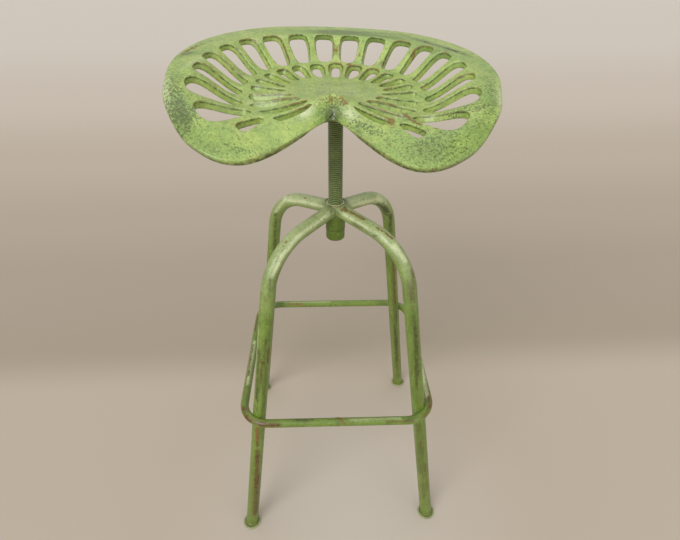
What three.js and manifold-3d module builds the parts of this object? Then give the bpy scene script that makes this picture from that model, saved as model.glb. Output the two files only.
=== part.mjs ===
// Tractor seat stool: an openwork cast seat that screws up and down on four bent tube legs.
// Units are millimetres, +Z is up, the seat faces -Y, and the origin lies on the floor.
import * as THREE from "three";
import { mergeVertices } from "three/addons/utils/BufferGeometryUtils.js";
import Module from "manifold-3d";

const wasm = await Module();
wasm.setup();

// Gaps shared by the pieces
const weldGap = 0.3; // left between pieces that are welded, seated or screwed tight
const threadClearance = 0.35; // round the spindle in the hub, which stands for the thread's play
const boltClearance = 0.45; // round a bolt in a plain hole
const cutOverrun = 3; // how far a cutting tool passes the face that it cuts
const mergeTolerance = 0.0005; // vertices closer than this are one

// The stool's own place in the frame
const spindleSetback = 14; // how far the spindle stands in front of the origin

// Seat casting
const seatHeight = 763; // top of the centre plate above the floor, screwed fully up
const seatTurn = -4.3; // degrees, how far the seat stands turned on the legs
const seatLean = 1.62; // degrees, how far the seat leans to its +X side
const seatThickness = 8.5;
const seatOffset = -2; // how far the casting is bolted off the spindle's axis, to its -X side
const plateRadius = 63; // the plain centre plate
const innerSlotStart = 70; // nominal radii of the two rings of slots, which the shares below vary
const innerSlotEnd = 118;
const outerSlotStart = 124;
const outerSlotEnd = 176;
const rimRadius = 216; // at the rear
const rimRise = 49; // the rear rim above the centre plate
const innerRibWidth = 5; // between two inner slots, at the top
const outerRibWidth = 9; // between two outer slots, at the top
const slotChamfer = 1.2; // bevelled top edge of a slot
const slotDraft = 2; // how much shorter a slot is at its bottom, at each end
const innerSlotNarrowing = 0.6; // width of an inner slot at its bottom over that at its top
const outerSlotNarrowing = 0.86;
const pommelRise = 9; // the ridge in the middle of the front edge
const pommelReach = 66; // its crest in front of the spindle
const pommelWidth = 26;
const pommelDepth = 16;
const edgeRound = 3; // rounding of the outer edge
const slopeStep = 0.5; // over which the slope of the top surface is taken

// The pattern of the casting, as counts
const slotPitchCount = 24; // slots in a full ring, so one pitch is 15 degrees
const innerSlotsPerSide = 10; // slots of the inner ring on each side of the rear one
const outerSlotsPerSide = 10; // slots of the outer ring on each side of the rear rib
const columnsPerPitch = 4; // facets across one slot
const innerRows = 4; // facets along an inner slot
const outerRows = 5; // facets along an outer slot
const slotSquareness = 3; // exponent of the rounded outline, 2 is an ellipse
const lastSlotShortening = 8; // the foremost outer slots end this much nearer the spindle

// Shares at every pitch from the rear (first) round one side to the front (last)
const rimRadiusShares = [1, 1, 1, 0.999, 0.996, 0.988, 0.998, 1.004, 1.039, 1.03, 0.914, 0.597, 0.421];
const slotEndShares = [0.945, 0.961, 0.98, 0.998, 0.998, 1.013, 1.04, 1.057, 1.146, 1.09, 0.91, 0.667, 0.463];
const innerStartShares = [0.98, 0.98, 0.98, 0.97, 0.96, 0.95, 0.94, 0.95, 0.99, 1.06, 1.18, 0.99, 0.92];
const innerEndShares = [1.03, 1.025, 1.01, 0.99, 0.975, 0.96, 0.955, 0.975, 1.02, 1.055, 1.055, 0.88, 0.63];
const outerStartShares = [1.005, 1.005, 1, 1, 0.99, 0.98, 0.98, 1, 1.03, 1.055, 1.055, 0.885, 0.625];
const shiftShares = [0, 0, 0, 0, 0, 0, 0, 0, 0.04, 0.135, -0.26, -0.12, 0]; // of a pitch, to the front
// How far the inner end of an inner slot lies nearer the front than its outer end, in pitches
const leanShares = [0, 0.1, 0.25, 0.4, 0.6, 0.8, 0.95, 1.2, 1.4, 1.3, 0.9, 0.45, 0];
const rimHeightShares = [1.01, 1.01, 1.01, 0.96, 0.88, 0.775, 0.595, 0.37, 0.055, -0.585, -0.83, -0.47, -0.33];
const slotEndHeightShares = [
  0.9, 0.915, 0.89, 0.866, 0.823, 0.74, 0.637, 0.49, 0.203, -0.2, -0.5, -0.345, -0.08,
];
const ringHeightShares = [
  0.24, 0.21, 0.19, 0.15, 0.115, 0.06, -0.035, -0.15, -0.21, -0.2, -0.3, -0.26, -0.19,
];

// Mounting flange under the centre plate, and its bolts
const flangeRadius = 54;
const flangeThickness = 5;
const flangeBossRadius = 17;
const flangeBossHeight = 10;
const flangeBossChamfer = 3;
const boltCircleRadius = 38;
const boltCount = 4;
const boltRadius = 4;
const boltGrip = 6.2; // how deep a bolt reaches into the casting
const boltHeadWidth = 13; // across the flats
const boltHeadHeight = 5.3;
const boltHeadChamfer = 1.2;
const washerRadius = 8;
const washerThickness = 1.6;

// Spindle and its stop nut
const spindleRadius = 11;
const spindleChamfer = 1;
const spindleRecess = 1; // how far the spindle's lower end stays inside the stop nut
const stopNutRadius = 15;
const stopNutHeight = 18;
const stopNutRound = 4;
const stopNutChamfer = 1;

// Hub
const hubRadius = 15.5;
const hubTop = 593; // above the floor
const hubLength = 43.5;
const hubChamfer = 1;
const hubWasherRadius = 14.2;
const hubWasherThickness = 2;

// Legs, each one bent tube in the vertical plane of a diagonal
const legTubeRadius = 11;
const legWall = 1.6;
const legBendRadius = 90; // to the tube's centre line
const legArmDrop = 8.3; // the centre lines of the arms meet the spindle's axis this far below the hub's top
const legArmDroop = 8.5; // degrees, the fall of the arm away from the hub
const legSplay = 10.34; // degrees from upright
const footSpread = 340; // between the centres of neighbouring feet
const hubFillet = 2.6; // weld at the hub, out from the tube
const hubFilletLength = 7;
const footFillet = 2; // weld at the foot disc
const footFilletLength = 4;

// Foot discs
const footRadius = 16;
const footThickness = 3.2;
const footChamfer = 0.8;

// Footrest, one rod bent to a rounded square outside the legs
const footrestRodRadius = 7;
const footrestHeight = 270; // of the rod's centre line
const footrestCornerRadius = 44.5; // to the rod's centre line
const footrestSaddle = 3.5; // how deep each leg beds into the rod
const footrestTurn = -1.6; // degrees, how far it stands turned on the legs
const footrestSeamSwell = 0.7; // the butt weld in the middle of the front bar
const footrestSeamLength = 7;

// Facets of round pieces
const tubeSides = 14;
const boreSides = 8;
const bendSteps = 8;
const rodSides = 10;
const cornerSteps = 6;
const turnedSides = 24;
const smallSides = 12;
const hexSides = 6;

const degrees = Math.PI / 180;
const halfTurn = Math.PI;
const fullTurn = 2 * halfTurn;
const quarterTurn = halfTurn / 2;
const eighthTurn = quarterTurn / 2;

// Materials
const paintedIron = new THREE.MeshStandardMaterial({ color: "#8fb566", roughness: 0.5, metalness: 0.1 });
const paintedSteel = new THREE.MeshStandardMaterial({ color: "#86b05c", roughness: 0.42, metalness: 0.1 });
const barePlatedSteel = new THREE.MeshStandardMaterial({ color: "#8d8f86", roughness: 0.4, metalness: 0.8 });

// Small helpers

/** Value of a smooth curve through shares that stand one pitch apart, mirrored at both ends. */
function alongShares(shares, position) {
  const last = shares.length - 1;
  const at = (i) => shares[last - Math.abs(last - Math.abs(i))];
  const i = Math.min(Math.floor(position), last - 1);
  const t = position - i;
  const [a, b, c, d] = [at(i - 1), at(i), at(i + 1), at(i + 2)];
  const slopeHere = (c - a) / 2;
  const slopeNext = (d - b) / 2;
  const blend = t * t * (3 - 2 * t);
  const rise = t * (1 - t) * (1 - t);
  const fall = t * t * (1 - t);
  return b + (c - b) * blend + slopeHere * rise - slopeNext * fall;
}

/** Slopes at stations of a rising or falling curve, limited so that it never overshoots. */
function limitedSlopes(stations) {
  const slopes = stations.slice(1).map(([x, y], i) => (y - stations[i][1]) / (x - stations[i][0]));
  const middle = slopes.slice(1).map((next, i) => {
    const here = slopes[i];
    return here * next > 0 ? (2 * here * next) / (here + next) : 0;
  });
  return [0, ...middle, slopes[slopes.length - 1]];
}

/** Height at x on the limited smooth curve through stations of [x, height]. */
function alongStations(stations, x) {
  const slopes = limitedSlopes(stations);
  let i = 0;
  while (i < stations.length - 2 && x > stations[i + 1][0]) i += 1;
  const [x0, y0] = stations[i];
  const [x1, y1] = stations[i + 1];
  const span = x1 - x0;
  const t = (x - x0) / span;
  const blend = t * t * (3 - 2 * t);
  const start = t * (1 - t) * (1 - t) * span * slopes[i];
  const end = t * t * (t - 1) * span * slopes[i + 1];
  return y0 + (y1 - y0) * blend + start + end;
}

/** A closed indexed geometry from flat lists of coordinates and vertex numbers. */
function indexedGeometry(coordinates, faces) {
  const geometry = new THREE.BufferGeometry();
  geometry.setAttribute("position", new THREE.Float32BufferAttribute(coordinates, 3));
  geometry.setIndex(faces);
  return geometry;
}

/** The manifold solid of a closed geometry. */
function toSolid(geometry) {
  const bare = geometry.clone();
  bare.deleteAttribute("normal");
  bare.deleteAttribute("uv");
  const merged = mergeVertices(bare, mergeTolerance);
  return new wasm.Manifold(
    new wasm.Mesh({
      numProp: 3,
      vertProperties: merged.attributes.position.array,
      triVerts: new Uint32Array(merged.index.array),
    }),
  );
}

/** The three.js geometry of a manifold solid, with flat facets. */
function toGeometry(solid) {
  const mesh = solid.getMesh();
  const coordinates = [];
  for (let i = 0; i < mesh.numVert; i += 1) {
    coordinates.push(...mesh.vertProperties.subarray(i * mesh.numProp, i * mesh.numProp + 3));
  }
  return indexedGeometry(coordinates, [...mesh.triVerts]);
}

/** A solid turned from a closed profile of [radius, height] points, counter-clockwise. */
function turned(profile, sides) {
  const outline = [...profile, profile[0]].map(([radius, height]) => new THREE.Vector2(radius, height));
  const lathe = new THREE.LatheGeometry(outline, sides);
  return toSolid(lathe.rotateX(quarterTurn));
}

/** A cylinder about the Z axis between two heights, or a cone with a top radius of its own. */
function cylinder(radius, bottom, top, sides, topRadius = radius) {
  const geometry = new THREE.CylinderGeometry(topRadius, radius, top - bottom, sides);
  return toSolid(geometry.rotateX(quarterTurn).translate(0, 0, (bottom + top) / 2));
}

/** A named mesh in a group. */
function addPiece(parent, name, geometry, material) {
  const mesh = new THREE.Mesh(geometry, material);
  mesh.name = name;
  parent.add(mesh);
  return mesh;
}

// Seat casting

const pitchAngle = fullTurn / slotPitchCount;
const columnCount = slotPitchCount * columnsPerPitch;
const columnAngle = pitchAngle / columnsPerPitch;

/** Position among the shares of an angle from the rear, the same on both sides. */
function sharePosition(angle) {
  return Math.abs(angle) / pitchAngle;
}

/** Angle of a column of the mesh from the rear; near the front they are shifted a little. */
function columnTurn(column) {
  const nominal = column * columnAngle - halfTurn;
  return nominal + Math.sign(nominal) * pitchAngle * alongShares(shiftShares, sharePosition(nominal));
}

/** Angle of a column at a radius; along the inner slots the columns lean to the front, towards the plate. */
function leanedTurn(angle, radius) {
  const [start, end] = [innerStartAt(angle), innerEndAt(angle)];
  const inward = Math.min(Math.max((end - radius) / (end - start), 0), 1);
  return angle + Math.sign(angle) * pitchAngle * alongShares(leanShares, sharePosition(angle)) * inward;
}

function innerStartAt(angle) {
  return innerSlotStart * alongShares(innerStartShares, sharePosition(angle));
}

function innerEndAt(angle) {
  return innerSlotEnd * alongShares(innerEndShares, sharePosition(angle));
}

function outerStartAt(angle) {
  return outerSlotStart * alongShares(outerStartShares, sharePosition(angle));
}

function rimAt(angle) {
  return rimRadius * alongShares(rimRadiusShares, sharePosition(angle));
}

function slotEndAt(angle) {
  return outerSlotEnd * alongShares(slotEndShares, sharePosition(angle));
}

/** Height of the casting's top above the centre plate, at a radius and an angle from the rear. */
function topHeight(radius, angle) {
  const position = sharePosition(angle);
  const stations = [
    [plateRadius, 0],
    [outerStartAt(angle), rimRise * alongShares(ringHeightShares, position)],
    [slotEndAt(angle), rimRise * alongShares(slotEndHeightShares, position)],
    [rimAt(angle), rimRise * alongShares(rimHeightShares, position)],
  ];
  const bowl = radius > plateRadius ? alongStations(stations, radius) : 0;
  const across = (radius * Math.sin(angle)) / pommelWidth;
  const along = (radius * Math.cos(angle) + pommelReach) / pommelDepth;
  return bowl + pommelRise * Math.exp(-across * across - along * along);
}

/** Radii of the mesh's rows at an angle, from the plate to just inside the rim's rounding. */
function rowRadii(angle) {
  const between = (from, to, count) =>
    Array.from({ length: count }, (_, i) => from + ((to - from) * (i + 1)) / count);
  const innerStart = innerStartAt(angle);
  const innerEnd = innerEndAt(angle);
  const outerStart = outerStartAt(angle);
  const slotEnd = slotEndAt(angle);
  const rim = rimAt(angle) - edgeRound;
  return [
    ...plateRowShares.map((share) => plateRadius * share),
    innerStart,
    ...between(innerStart, innerEnd, innerRows),
    outerStart,
    ...between(outerStart, slotEnd, outerRows),
    ...rimRowShares.map((share) => slotEnd + (rim - slotEnd) * share),
  ];
}

const plateRowShares = [0.7, 1];
const rimRowShares = [0.45, 1];
const innerFirstRow = plateRowShares.length; // row on which the inner slots start
const innerLastRow = innerFirstRow + innerRows;
const outerFirstRow = innerLastRow + 1;
const outerLastRow = outerFirstRow + outerRows;

/** Collects the seat's vertices and faces; every vertex lies square under a point of the top surface. */
class SeatMesh {
  constructor() {
    this.coordinates = [];
    this.faces = [];
  }

  /** Adds the point that lies at a depth square under a polar place on the top surface. */
  point(radius, angle, depth) {
    const step = slopeStep / Math.max(radius, slopeStep);
    const outSlope =
      (topHeight(radius + slopeStep, angle) - topHeight(radius - slopeStep, angle)) / (slopeStep + slopeStep);
    const sideSlope =
      (topHeight(radius, angle + step) - topHeight(radius, angle - step)) / (slopeStep + slopeStep);
    const sink = depth / Math.hypot(outSlope, sideSlope, 1);
    const out = radius + outSlope * sink;
    const side = sideSlope * sink;
    this.coordinates.push(
      out * Math.sin(angle) + side * Math.cos(angle),
      out * Math.cos(angle) - side * Math.sin(angle),
      topHeight(radius, angle) - sink,
    );
    return this.coordinates.length / 3 - 1;
  }

  triangle(a, b, c) {
    this.faces.push(a, b, c);
  }

  /** Joins two loops of equally many vertices by a closed band of triangles. */
  band(from, to) {
    from.forEach((a, i) => {
      const next = (i + 1) % from.length;
      this.triangle(a, to[next], from[next]);
      this.triangle(a, to[i], to[next]);
    });
  }
}

/** The vertices of one face of the casting, top or bottom, as rows of columns, and its centre. */
function seatFace(mesh, depth) {
  const rows = [];
  for (let column = 0; column < columnCount; column += 1) {
    const angle = columnTurn(column);
    rowRadii(angle).forEach((radius, row) => {
      rows[row] = rows[row] ?? [];
      rows[row].push(mesh.point(radius, leanedTurn(angle, radius), depth));
    });
  }
  return { rows, centre: mesh.point(0, 0, depth) };
}

/** The ring of grid places round a cell: from and to are rows, first is its first column. */
function cellBorder(firstColumn, fromRow, toRow) {
  const lastColumn = firstColumn + columnsPerPitch;
  const border = [];
  for (let column = firstColumn; column < lastColumn; column += 1) border.push([column, fromRow]);
  for (let row = fromRow; row < toRow; row += 1) border.push([lastColumn, row]);
  for (let column = lastColumn; column > firstColumn; column -= 1) border.push([column, toRow]);
  for (let row = toRow; row > fromRow; row -= 1) border.push([firstColumn, row]);
  return border;
}

/** Loop of vertices of one slot at a depth, inset from its top outline and narrowed by a factor. */
function slotLoop(mesh, border, { start, end, from, to, rib }, depth, inset, sideInset, narrowing) {
  const [[firstColumn, fromRow]] = border;
  const toRow = fromRow + border.length / 2 - columnsPerPitch;
  const middleColumn = firstColumn + columnsPerPitch / 2;
  const halfLength = (end - start) / 2 - inset;
  return border.map(([column, row]) => {
    const across = (column - middleColumn) / (columnsPerPitch / 2);
    const along = ((row - fromRow) / (toRow - fromRow)) * 2 - 1;
    const squareness = Math.abs(across) ** slotSquareness + Math.abs(along) ** slotSquareness;
    const reach = squareness ** (-1 / slotSquareness);
    const radius = (start + end) / 2 + along * reach * halfLength;
    const [low, high] = [leanedTurn(from, radius), leanedTurn(to, radius)];
    const halfWidth = ((radius * (high - low) - rib) / 2 - sideInset) * narrowing;
    return mesh.point(radius, (low + high) / 2 + (across * reach * halfWidth) / radius, depth);
  });
}

/** The angles that the cell from a column on spans, and the one in its middle. */
function cellSpan(firstColumn) {
  const from = columnTurn(firstColumn);
  const to = columnTurn(firstColumn + columnsPerPitch);
  return { from, to, middle: (from + to) / 2 };
}

/** Outline and slope of an inner slot, whose cell starts at a column. */
function innerSlotShape(firstColumn) {
  const { from, to, middle } = cellSpan(firstColumn);
  const [start, end] = [innerStartAt(middle), innerEndAt(middle)];
  return { start, end, from, to, rib: innerRibWidth, narrowing: innerSlotNarrowing };
}

/** Outline and slope of an outer slot, whose cell starts at a column. */
function outerSlotShape(firstColumn, foremost) {
  const { from, to, middle } = cellSpan(firstColumn);
  const start = outerStartAt(middle);
  const end = slotEndAt(middle) - slotChamfer - (foremost ? lastSlotShortening : 0);
  return { start, end, from, to, rib: outerRibWidth, narrowing: outerSlotNarrowing };
}

/** The seat as one closed geometry, centred on the spindle with the plate's top at zero. */
function seatGeometry() {
  const mesh = new SeatMesh();
  const top = seatFace(mesh, 0);
  const bottom = seatFace(mesh, seatThickness);
  const wrap = (column) => (column + columnCount) % columnCount;

  const quad = (row, column) => {
    const next = wrap(column + 1);
    const [a, b] = [top.rows[row][column], top.rows[row][next]];
    const [c, d] = [top.rows[row + 1][next], top.rows[row + 1][column]];
    mesh.triangle(a, b, c);
    mesh.triangle(a, c, d);
    const [e, f] = [bottom.rows[row][column], bottom.rows[row][next]];
    const [g, h] = [bottom.rows[row + 1][next], bottom.rows[row + 1][column]];
    mesh.triangle(e, g, f);
    mesh.triangle(e, h, g);
  };

  const slot = (firstColumn, fromRow, toRow, shape) => {
    const border = cellBorder(firstColumn, fromRow, toRow);
    const gridLoop = (face) => border.map(([column, row]) => face.rows[row][wrap(column)]);
    const loops = [
      gridLoop(top),
      slotLoop(mesh, border, shape, 0, 0, 0, 1),
      slotLoop(mesh, border, shape, slotChamfer, slotChamfer / 2, slotChamfer / 2, 1),
      slotLoop(mesh, border, shape, seatThickness, slotDraft, 0, shape.narrowing),
      gridLoop(bottom),
    ];
    loops.slice(1).forEach((inner, i) => mesh.band(inner, loops[i]));
  };

  const plainCell = (firstColumn, fromRow, toRow) => {
    for (let column = firstColumn; column < firstColumn + columnsPerPitch; column += 1) {
      for (let row = fromRow; row < toRow; row += 1) quad(row, wrap(column));
    }
  };

  for (let column = 0; column < columnCount; column += 1) {
    const next = wrap(column + 1);
    mesh.triangle(top.centre, top.rows[0][next], top.rows[0][column]);
    mesh.triangle(bottom.centre, bottom.rows[0][column], bottom.rows[0][next]);
    for (let row = 0; row < innerFirstRow; row += 1) quad(row, column);
    quad(innerLastRow, column);
    for (let row = outerLastRow; row < top.rows.length - 1; row += 1) quad(row, column);
  }

  for (let step = -innerSlotsPerSide - 1; step <= innerSlotsPerSide + 1; step += 1) {
    const firstColumn = (slotPitchCount / 2 + step) * columnsPerPitch - columnsPerPitch / 2;
    const shape = innerSlotShape(firstColumn);
    if (Math.abs(step) <= innerSlotsPerSide) slot(firstColumn, innerFirstRow, innerLastRow, shape);
    else plainCell(firstColumn, innerFirstRow, innerLastRow);
  }
  plainCell(-columnsPerPitch / 2, innerFirstRow, innerLastRow);

  for (let step = -slotPitchCount / 2; step < slotPitchCount / 2; step += 1) {
    const firstColumn = (slotPitchCount / 2 + step) * columnsPerPitch;
    const slotted = step >= -outerSlotsPerSide && step < outerSlotsPerSide;
    const foremost = step === -outerSlotsPerSide || step === outerSlotsPerSide - 1;
    const shape = outerSlotShape(firstColumn, foremost);
    if (slotted) slot(firstColumn, outerFirstRow, outerLastRow, shape);
    else plainCell(firstColumn, outerFirstRow, outerLastRow);
  }

  const rimLoop = (inset, depth) =>
    Array.from({ length: columnCount }, (_, column) => {
      const angle = columnTurn(column);
      return mesh.point(rimAt(angle) - inset, angle, depth);
    });
  const lastRow = top.rows.length - 1;
  const roundInset = edgeRound * (1 - Math.SQRT1_2);
  const rimLoops = [
    top.rows[lastRow],
    rimLoop(roundInset, roundInset),
    rimLoop(0, edgeRound),
    rimLoop(0, seatThickness - edgeRound),
    bottom.rows[lastRow],
  ];
  rimLoops.slice(1).forEach((outer, i) => mesh.band(outer, rimLoops[i]));
  return indexedGeometry(mesh.coordinates, mesh.faces);
}

/** Angle of each bolt round the spindle. */
const boltAngles = Array.from({ length: boltCount }, (_, i) => eighthTurn + (i * fullTurn) / boltCount);

/** Moves a solid to each bolt in turn. */
function atBolt(solid, angle) {
  return solid.translate([boltCircleRadius * Math.cos(angle), boltCircleRadius * Math.sin(angle), 0]);
}

/** The seat with its blind bolt holes. */
function seatPan() {
  const holeRadius = boltRadius + weldGap;
  const holeTop = boltGrip + weldGap - seatThickness;
  const hole = cylinder(holeRadius, -seatThickness - cutOverrun, holeTop, smallSides);
  const casting = toSolid(seatGeometry()).translate([seatOffset, 0, 0]);
  return boltAngles.reduce((pan, angle) => pan.subtract(atBolt(hole, angle)), casting);
}

const flangeTop = -seatThickness - weldGap; // below the top of the centre plate
const flangeBottom = flangeTop - flangeThickness;

/** The mounting flange with its boss, bored for the spindle at the seat's lean. */
function seatFlange() {
  const bossBottom = flangeBottom - flangeBossHeight;
  const body = turned(
    [
      [0, bossBottom],
      [flangeBossRadius - flangeBossChamfer, bossBottom],
      [flangeBossRadius, bossBottom + flangeBossChamfer],
      [flangeBossRadius, flangeBottom],
      [flangeRadius, flangeBottom],
      [flangeRadius, flangeTop],
      [0, flangeTop],
    ],
    turnedSides,
  );
  const bore = cylinder(
    spindleRadius + weldGap,
    bossBottom - cutOverrun,
    flangeTop + cutOverrun,
    turnedSides,
  ).rotate([0, -seatLean, 0]);
  const hole = cylinder(
    boltRadius + boltClearance,
    flangeBottom - cutOverrun,
    flangeTop + cutOverrun,
    smallSides,
  );
  return boltAngles.reduce((flange, angle) => flange.subtract(atBolt(hole, angle)), body.subtract(bore));
}

/** One bolt, with its head below the flange and its shank up in the casting. */
function seatBolt() {
  const headTop = flangeBottom - washerThickness - weldGap - weldGap;
  const headBottom = headTop - boltHeadHeight;
  const headRadius = boltHeadWidth / 2;
  const cornerRadius = headRadius / Math.cos(halfTurn / hexSides);
  const head = cylinder(cornerRadius, headBottom, headTop, hexSides);
  const crownRadius = headRadius - boltHeadChamfer;
  const crown = cylinder(crownRadius, headBottom, headTop, smallSides, crownRadius + boltHeadHeight);
  const shank = cylinder(boltRadius, headBottom + boltHeadChamfer, boltGrip - seatThickness, smallSides);
  return head.intersect(crown).add(shank);
}

/** The plain washer under a bolt's head. */
function boltWasher() {
  const top = flangeBottom - weldGap;
  const bottom = top - washerThickness;
  const bore = boltRadius + boltClearance;
  return turned(
    [
      [bore, bottom],
      [washerRadius, bottom],
      [washerRadius, top],
      [bore, top],
    ],
    smallSides,
  );
}

/** The seat and all that is bolted to it, in a group that leans on the spindle's axis. */
function addSeat(parent) {
  const group = new THREE.Group();
  group.position.z = seatHeight;
  group.rotation.set(0, seatLean * degrees, seatTurn * degrees, "ZYX");
  parent.add(group);
  addPiece(group, "seat_pan", toGeometry(seatPan()), paintedIron);
  addPiece(group, "seat_flange", toGeometry(seatFlange()), paintedSteel);
  boltAngles.forEach((angle, i) => {
    addPiece(group, `seat_bolt_${i + 1}`, toGeometry(atBolt(seatBolt(), angle)), barePlatedSteel);
    addPiece(group, `seat_bolt_washer_${i + 1}`, toGeometry(atBolt(boltWasher(), angle)), barePlatedSteel);
  });
}

// Spindle, stop nut and hub

const hubBottom = hubTop - hubLength;
const stopNutTop = hubBottom - weldGap;
const stopNutBottom = stopNutTop - stopNutHeight;

/** The threaded spindle as a plain rod at its outer diameter; the thread is left to the dressing. */
function addSpindle(parent) {
  const leanDrop = spindleRadius * Math.sin(seatLean * degrees);
  const top = seatHeight + flangeTop - leanDrop - weldGap;
  const bottom = stopNutBottom + spindleRecess;
  const rod = turned(
    [
      [0, bottom],
      [spindleRadius - spindleChamfer, bottom],
      [spindleRadius, bottom + spindleChamfer],
      [spindleRadius, top - spindleChamfer],
      [spindleRadius - spindleChamfer, top],
      [0, top],
    ],
    turnedSides,
  );
  addPiece(parent, "spindle", toGeometry(rod), paintedSteel);
}

/** The stop nut on the spindle's lower end, which meets the hub when the seat is fully up. */
function addStopNut(parent) {
  const bore = spindleRadius + weldGap;
  const roundPoint = (turn) => [
    stopNutRadius - stopNutRound + stopNutRound * Math.sin(turn),
    stopNutBottom + stopNutRound - stopNutRound * Math.cos(turn),
  ];
  const nut = turned(
    [
      [bore, stopNutBottom],
      roundPoint(0),
      roundPoint(eighthTurn),
      roundPoint(quarterTurn),
      [stopNutRadius, stopNutTop - stopNutChamfer],
      [stopNutRadius - stopNutChamfer, stopNutTop],
      [bore, stopNutTop],
    ],
    turnedSides,
  );
  addPiece(parent, "stop_nut", toGeometry(nut), paintedSteel);
}

/** The hub tube, threaded inside, to which the four legs are welded. */
function addHub(parent) {
  const bore = spindleRadius + threadClearance;
  const hub = turned(
    [
      [bore, hubBottom],
      [hubRadius - hubChamfer, hubBottom],
      [hubRadius, hubBottom + hubChamfer],
      [hubRadius, hubTop - hubChamfer],
      [hubRadius - hubChamfer, hubTop],
      [bore, hubTop],
    ],
    turnedSides,
  );
  addPiece(parent, "hub_tube", toGeometry(hub), paintedSteel);
}

/** The loose washer on the hub, which the spindle drags round. */
function addHubWasher(parent) {
  const bottom = hubTop + weldGap;
  const top = bottom + hubWasherThickness;
  const bore = spindleRadius + threadClearance;
  const washer = turned(
    [
      [bore, bottom],
      [hubWasherRadius, bottom],
      [hubWasherRadius, top],
      [bore, top],
    ],
    turnedSides,
  );
  addPiece(parent, "hub_washer", toGeometry(washer), paintedSteel);
}

// Legs

const legArmHeight = hubTop - legArmDrop;
const footRadial = footSpread * Math.SQRT1_2; // from the spindle's axis to a foot's centre
const hubFilletEnd = hubRadius + hubFilletLength; // along an arm
const legNames = ["rear_right", "rear_left", "front_left", "front_right"];
const legAngles = legNames.map((_, i) => eighthTurn + i * quarterTurn);

/** Centre line of a leg as [outward, height, distance along] points, from the axis to the floor. */
function legCentreLine() {
  const droop = legArmDroop * degrees;
  const splay = legSplay * degrees;
  const arm = new THREE.Vector2(Math.cos(droop), -Math.sin(droop));
  const down = new THREE.Vector2(Math.sin(splay), -Math.cos(splay));
  const bendAngle = Math.acos(arm.dot(down));
  const setback = legBendRadius * Math.tan(bendAngle / 2);
  // The arm and the leg meet where both reach the same point
  const reach = (footRadial - legArmHeight * Math.tan(splay)) / (arm.x + arm.y * Math.tan(splay));
  const armStart = new THREE.Vector2(0, legArmHeight);
  const bendStart = armStart.clone().addScaledVector(arm, reach - setback);
  const centre = bendStart.clone().add(new THREE.Vector2(arm.y, -arm.x).multiplyScalar(legBendRadius));
  const points = [armStart, armStart.clone().addScaledVector(arm, hubFilletEnd)];
  for (let step = 0; step <= bendSteps; step += 1) {
    const turn = droop + (bendAngle * step) / bendSteps;
    const outward = new THREE.Vector2(Math.sin(turn), Math.cos(turn));
    points.push(centre.clone().addScaledVector(outward, legBendRadius));
  }
  const foot = new THREE.Vector2(footRadial, 0);
  points.push(foot.clone().addScaledVector(down, -(footThickness + footFilletLength) / Math.cos(splay)));
  points.push(foot.addScaledVector(down, cutOverrun));
  return points;
}

/** A tube swept along points in the XZ plane, one radius for each point. */
function sweptTube(points, radii, sides) {
  const coordinates = [];
  const faces = [];
  points.forEach((point, i) => {
    const before = points[Math.max(i - 1, 0)];
    const after = points[Math.min(i + 1, points.length - 1)];
    const along = after.clone().sub(before).normalize();
    const inPlane = new THREE.Vector2(-along.y, along.x);
    for (let side = 0; side < sides; side += 1) {
      const turn = (side * fullTurn) / sides;
      const lift = radii[i] * Math.cos(turn);
      coordinates.push(
        point.x + inPlane.x * lift,
        radii[i] * Math.sin(turn),
        point.y + inPlane.y * lift,
      );
    }
  });
  const ring = (i, side) => i * sides + (side % sides);
  for (let i = 0; i < points.length - 1; i += 1) {
    for (let side = 0; side < sides; side += 1) {
      faces.push(ring(i, side), ring(i + 1, side), ring(i + 1, side + 1));
      faces.push(ring(i, side), ring(i + 1, side + 1), ring(i, side + 1));
    }
  }
  for (let side = 1; side < sides - 1; side += 1) {
    faces.push(ring(0, 0), ring(0, side), ring(0, side + 1));
    faces.push(ring(points.length - 1, 0), ring(points.length - 1, side + 1), ring(points.length - 1, side));
  }
  return toSolid(indexedGeometry(coordinates, faces));
}

/** One leg along +X: a hollow tube with its welds, coped to the hub and mitred to its neighbours. */
function leg() {
  const points = legCentreLine();
  const last = points.length - 1;
  const radii = points.map(() => legTubeRadius);
  // Each weld tapers from its full size to nothing over its length
  const hubSlope = hubFillet / hubFilletLength;
  const footSlope = footFillet / footFilletLength;
  radii[0] = legTubeRadius + hubSlope * hubFilletEnd;
  radii[last] = legTubeRadius + footSlope * (footThickness + footFilletLength + cutOverrun);
  const outside = sweptTube(points, radii, tubeSides);
  const inside = sweptTube(points, points.map(() => legTubeRadius - legWall), boreSides);
  const hubSpace = cylinder(hubRadius + weldGap, hubBottom - footSpread, hubTop + footSpread, turnedSides);
  const floorTop = footThickness + weldGap;
  const floorBlock = new THREE.BoxGeometry(footSpread, footSpread, footSpread);
  const floorSpace = toSolid(floorBlock.translate(footSpread / 2, 0, floorTop - footSpread / 2));
  return outside.subtract(inside).subtract(hubSpace).subtract(floorSpace).intersect(mitreWedge());
}

/** The quarter of space that one leg may fill, half a weld gap inside both diagonal planes. */
function mitreWedge() {
  const tip = weldGap * Math.SQRT1_2;
  const section = new THREE.Shape([
    new THREE.Vector2(tip, 0),
    new THREE.Vector2(tip + footSpread, -footSpread),
    new THREE.Vector2(tip + footSpread, footSpread),
  ]);
  return toSolid(new THREE.ExtrudeGeometry(section, { depth: hubTop + footSpread, bevelEnabled: false }));
}

/** The four legs, each turned to its diagonal. */
function addLegs(parent) {
  const solid = leg();
  legNames.forEach((name, i) => {
    const placed = solid.rotate([0, 0, legAngles[i] / degrees]);
    addPiece(parent, `leg_${name}`, toGeometry(placed), paintedSteel);
  });
}

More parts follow.
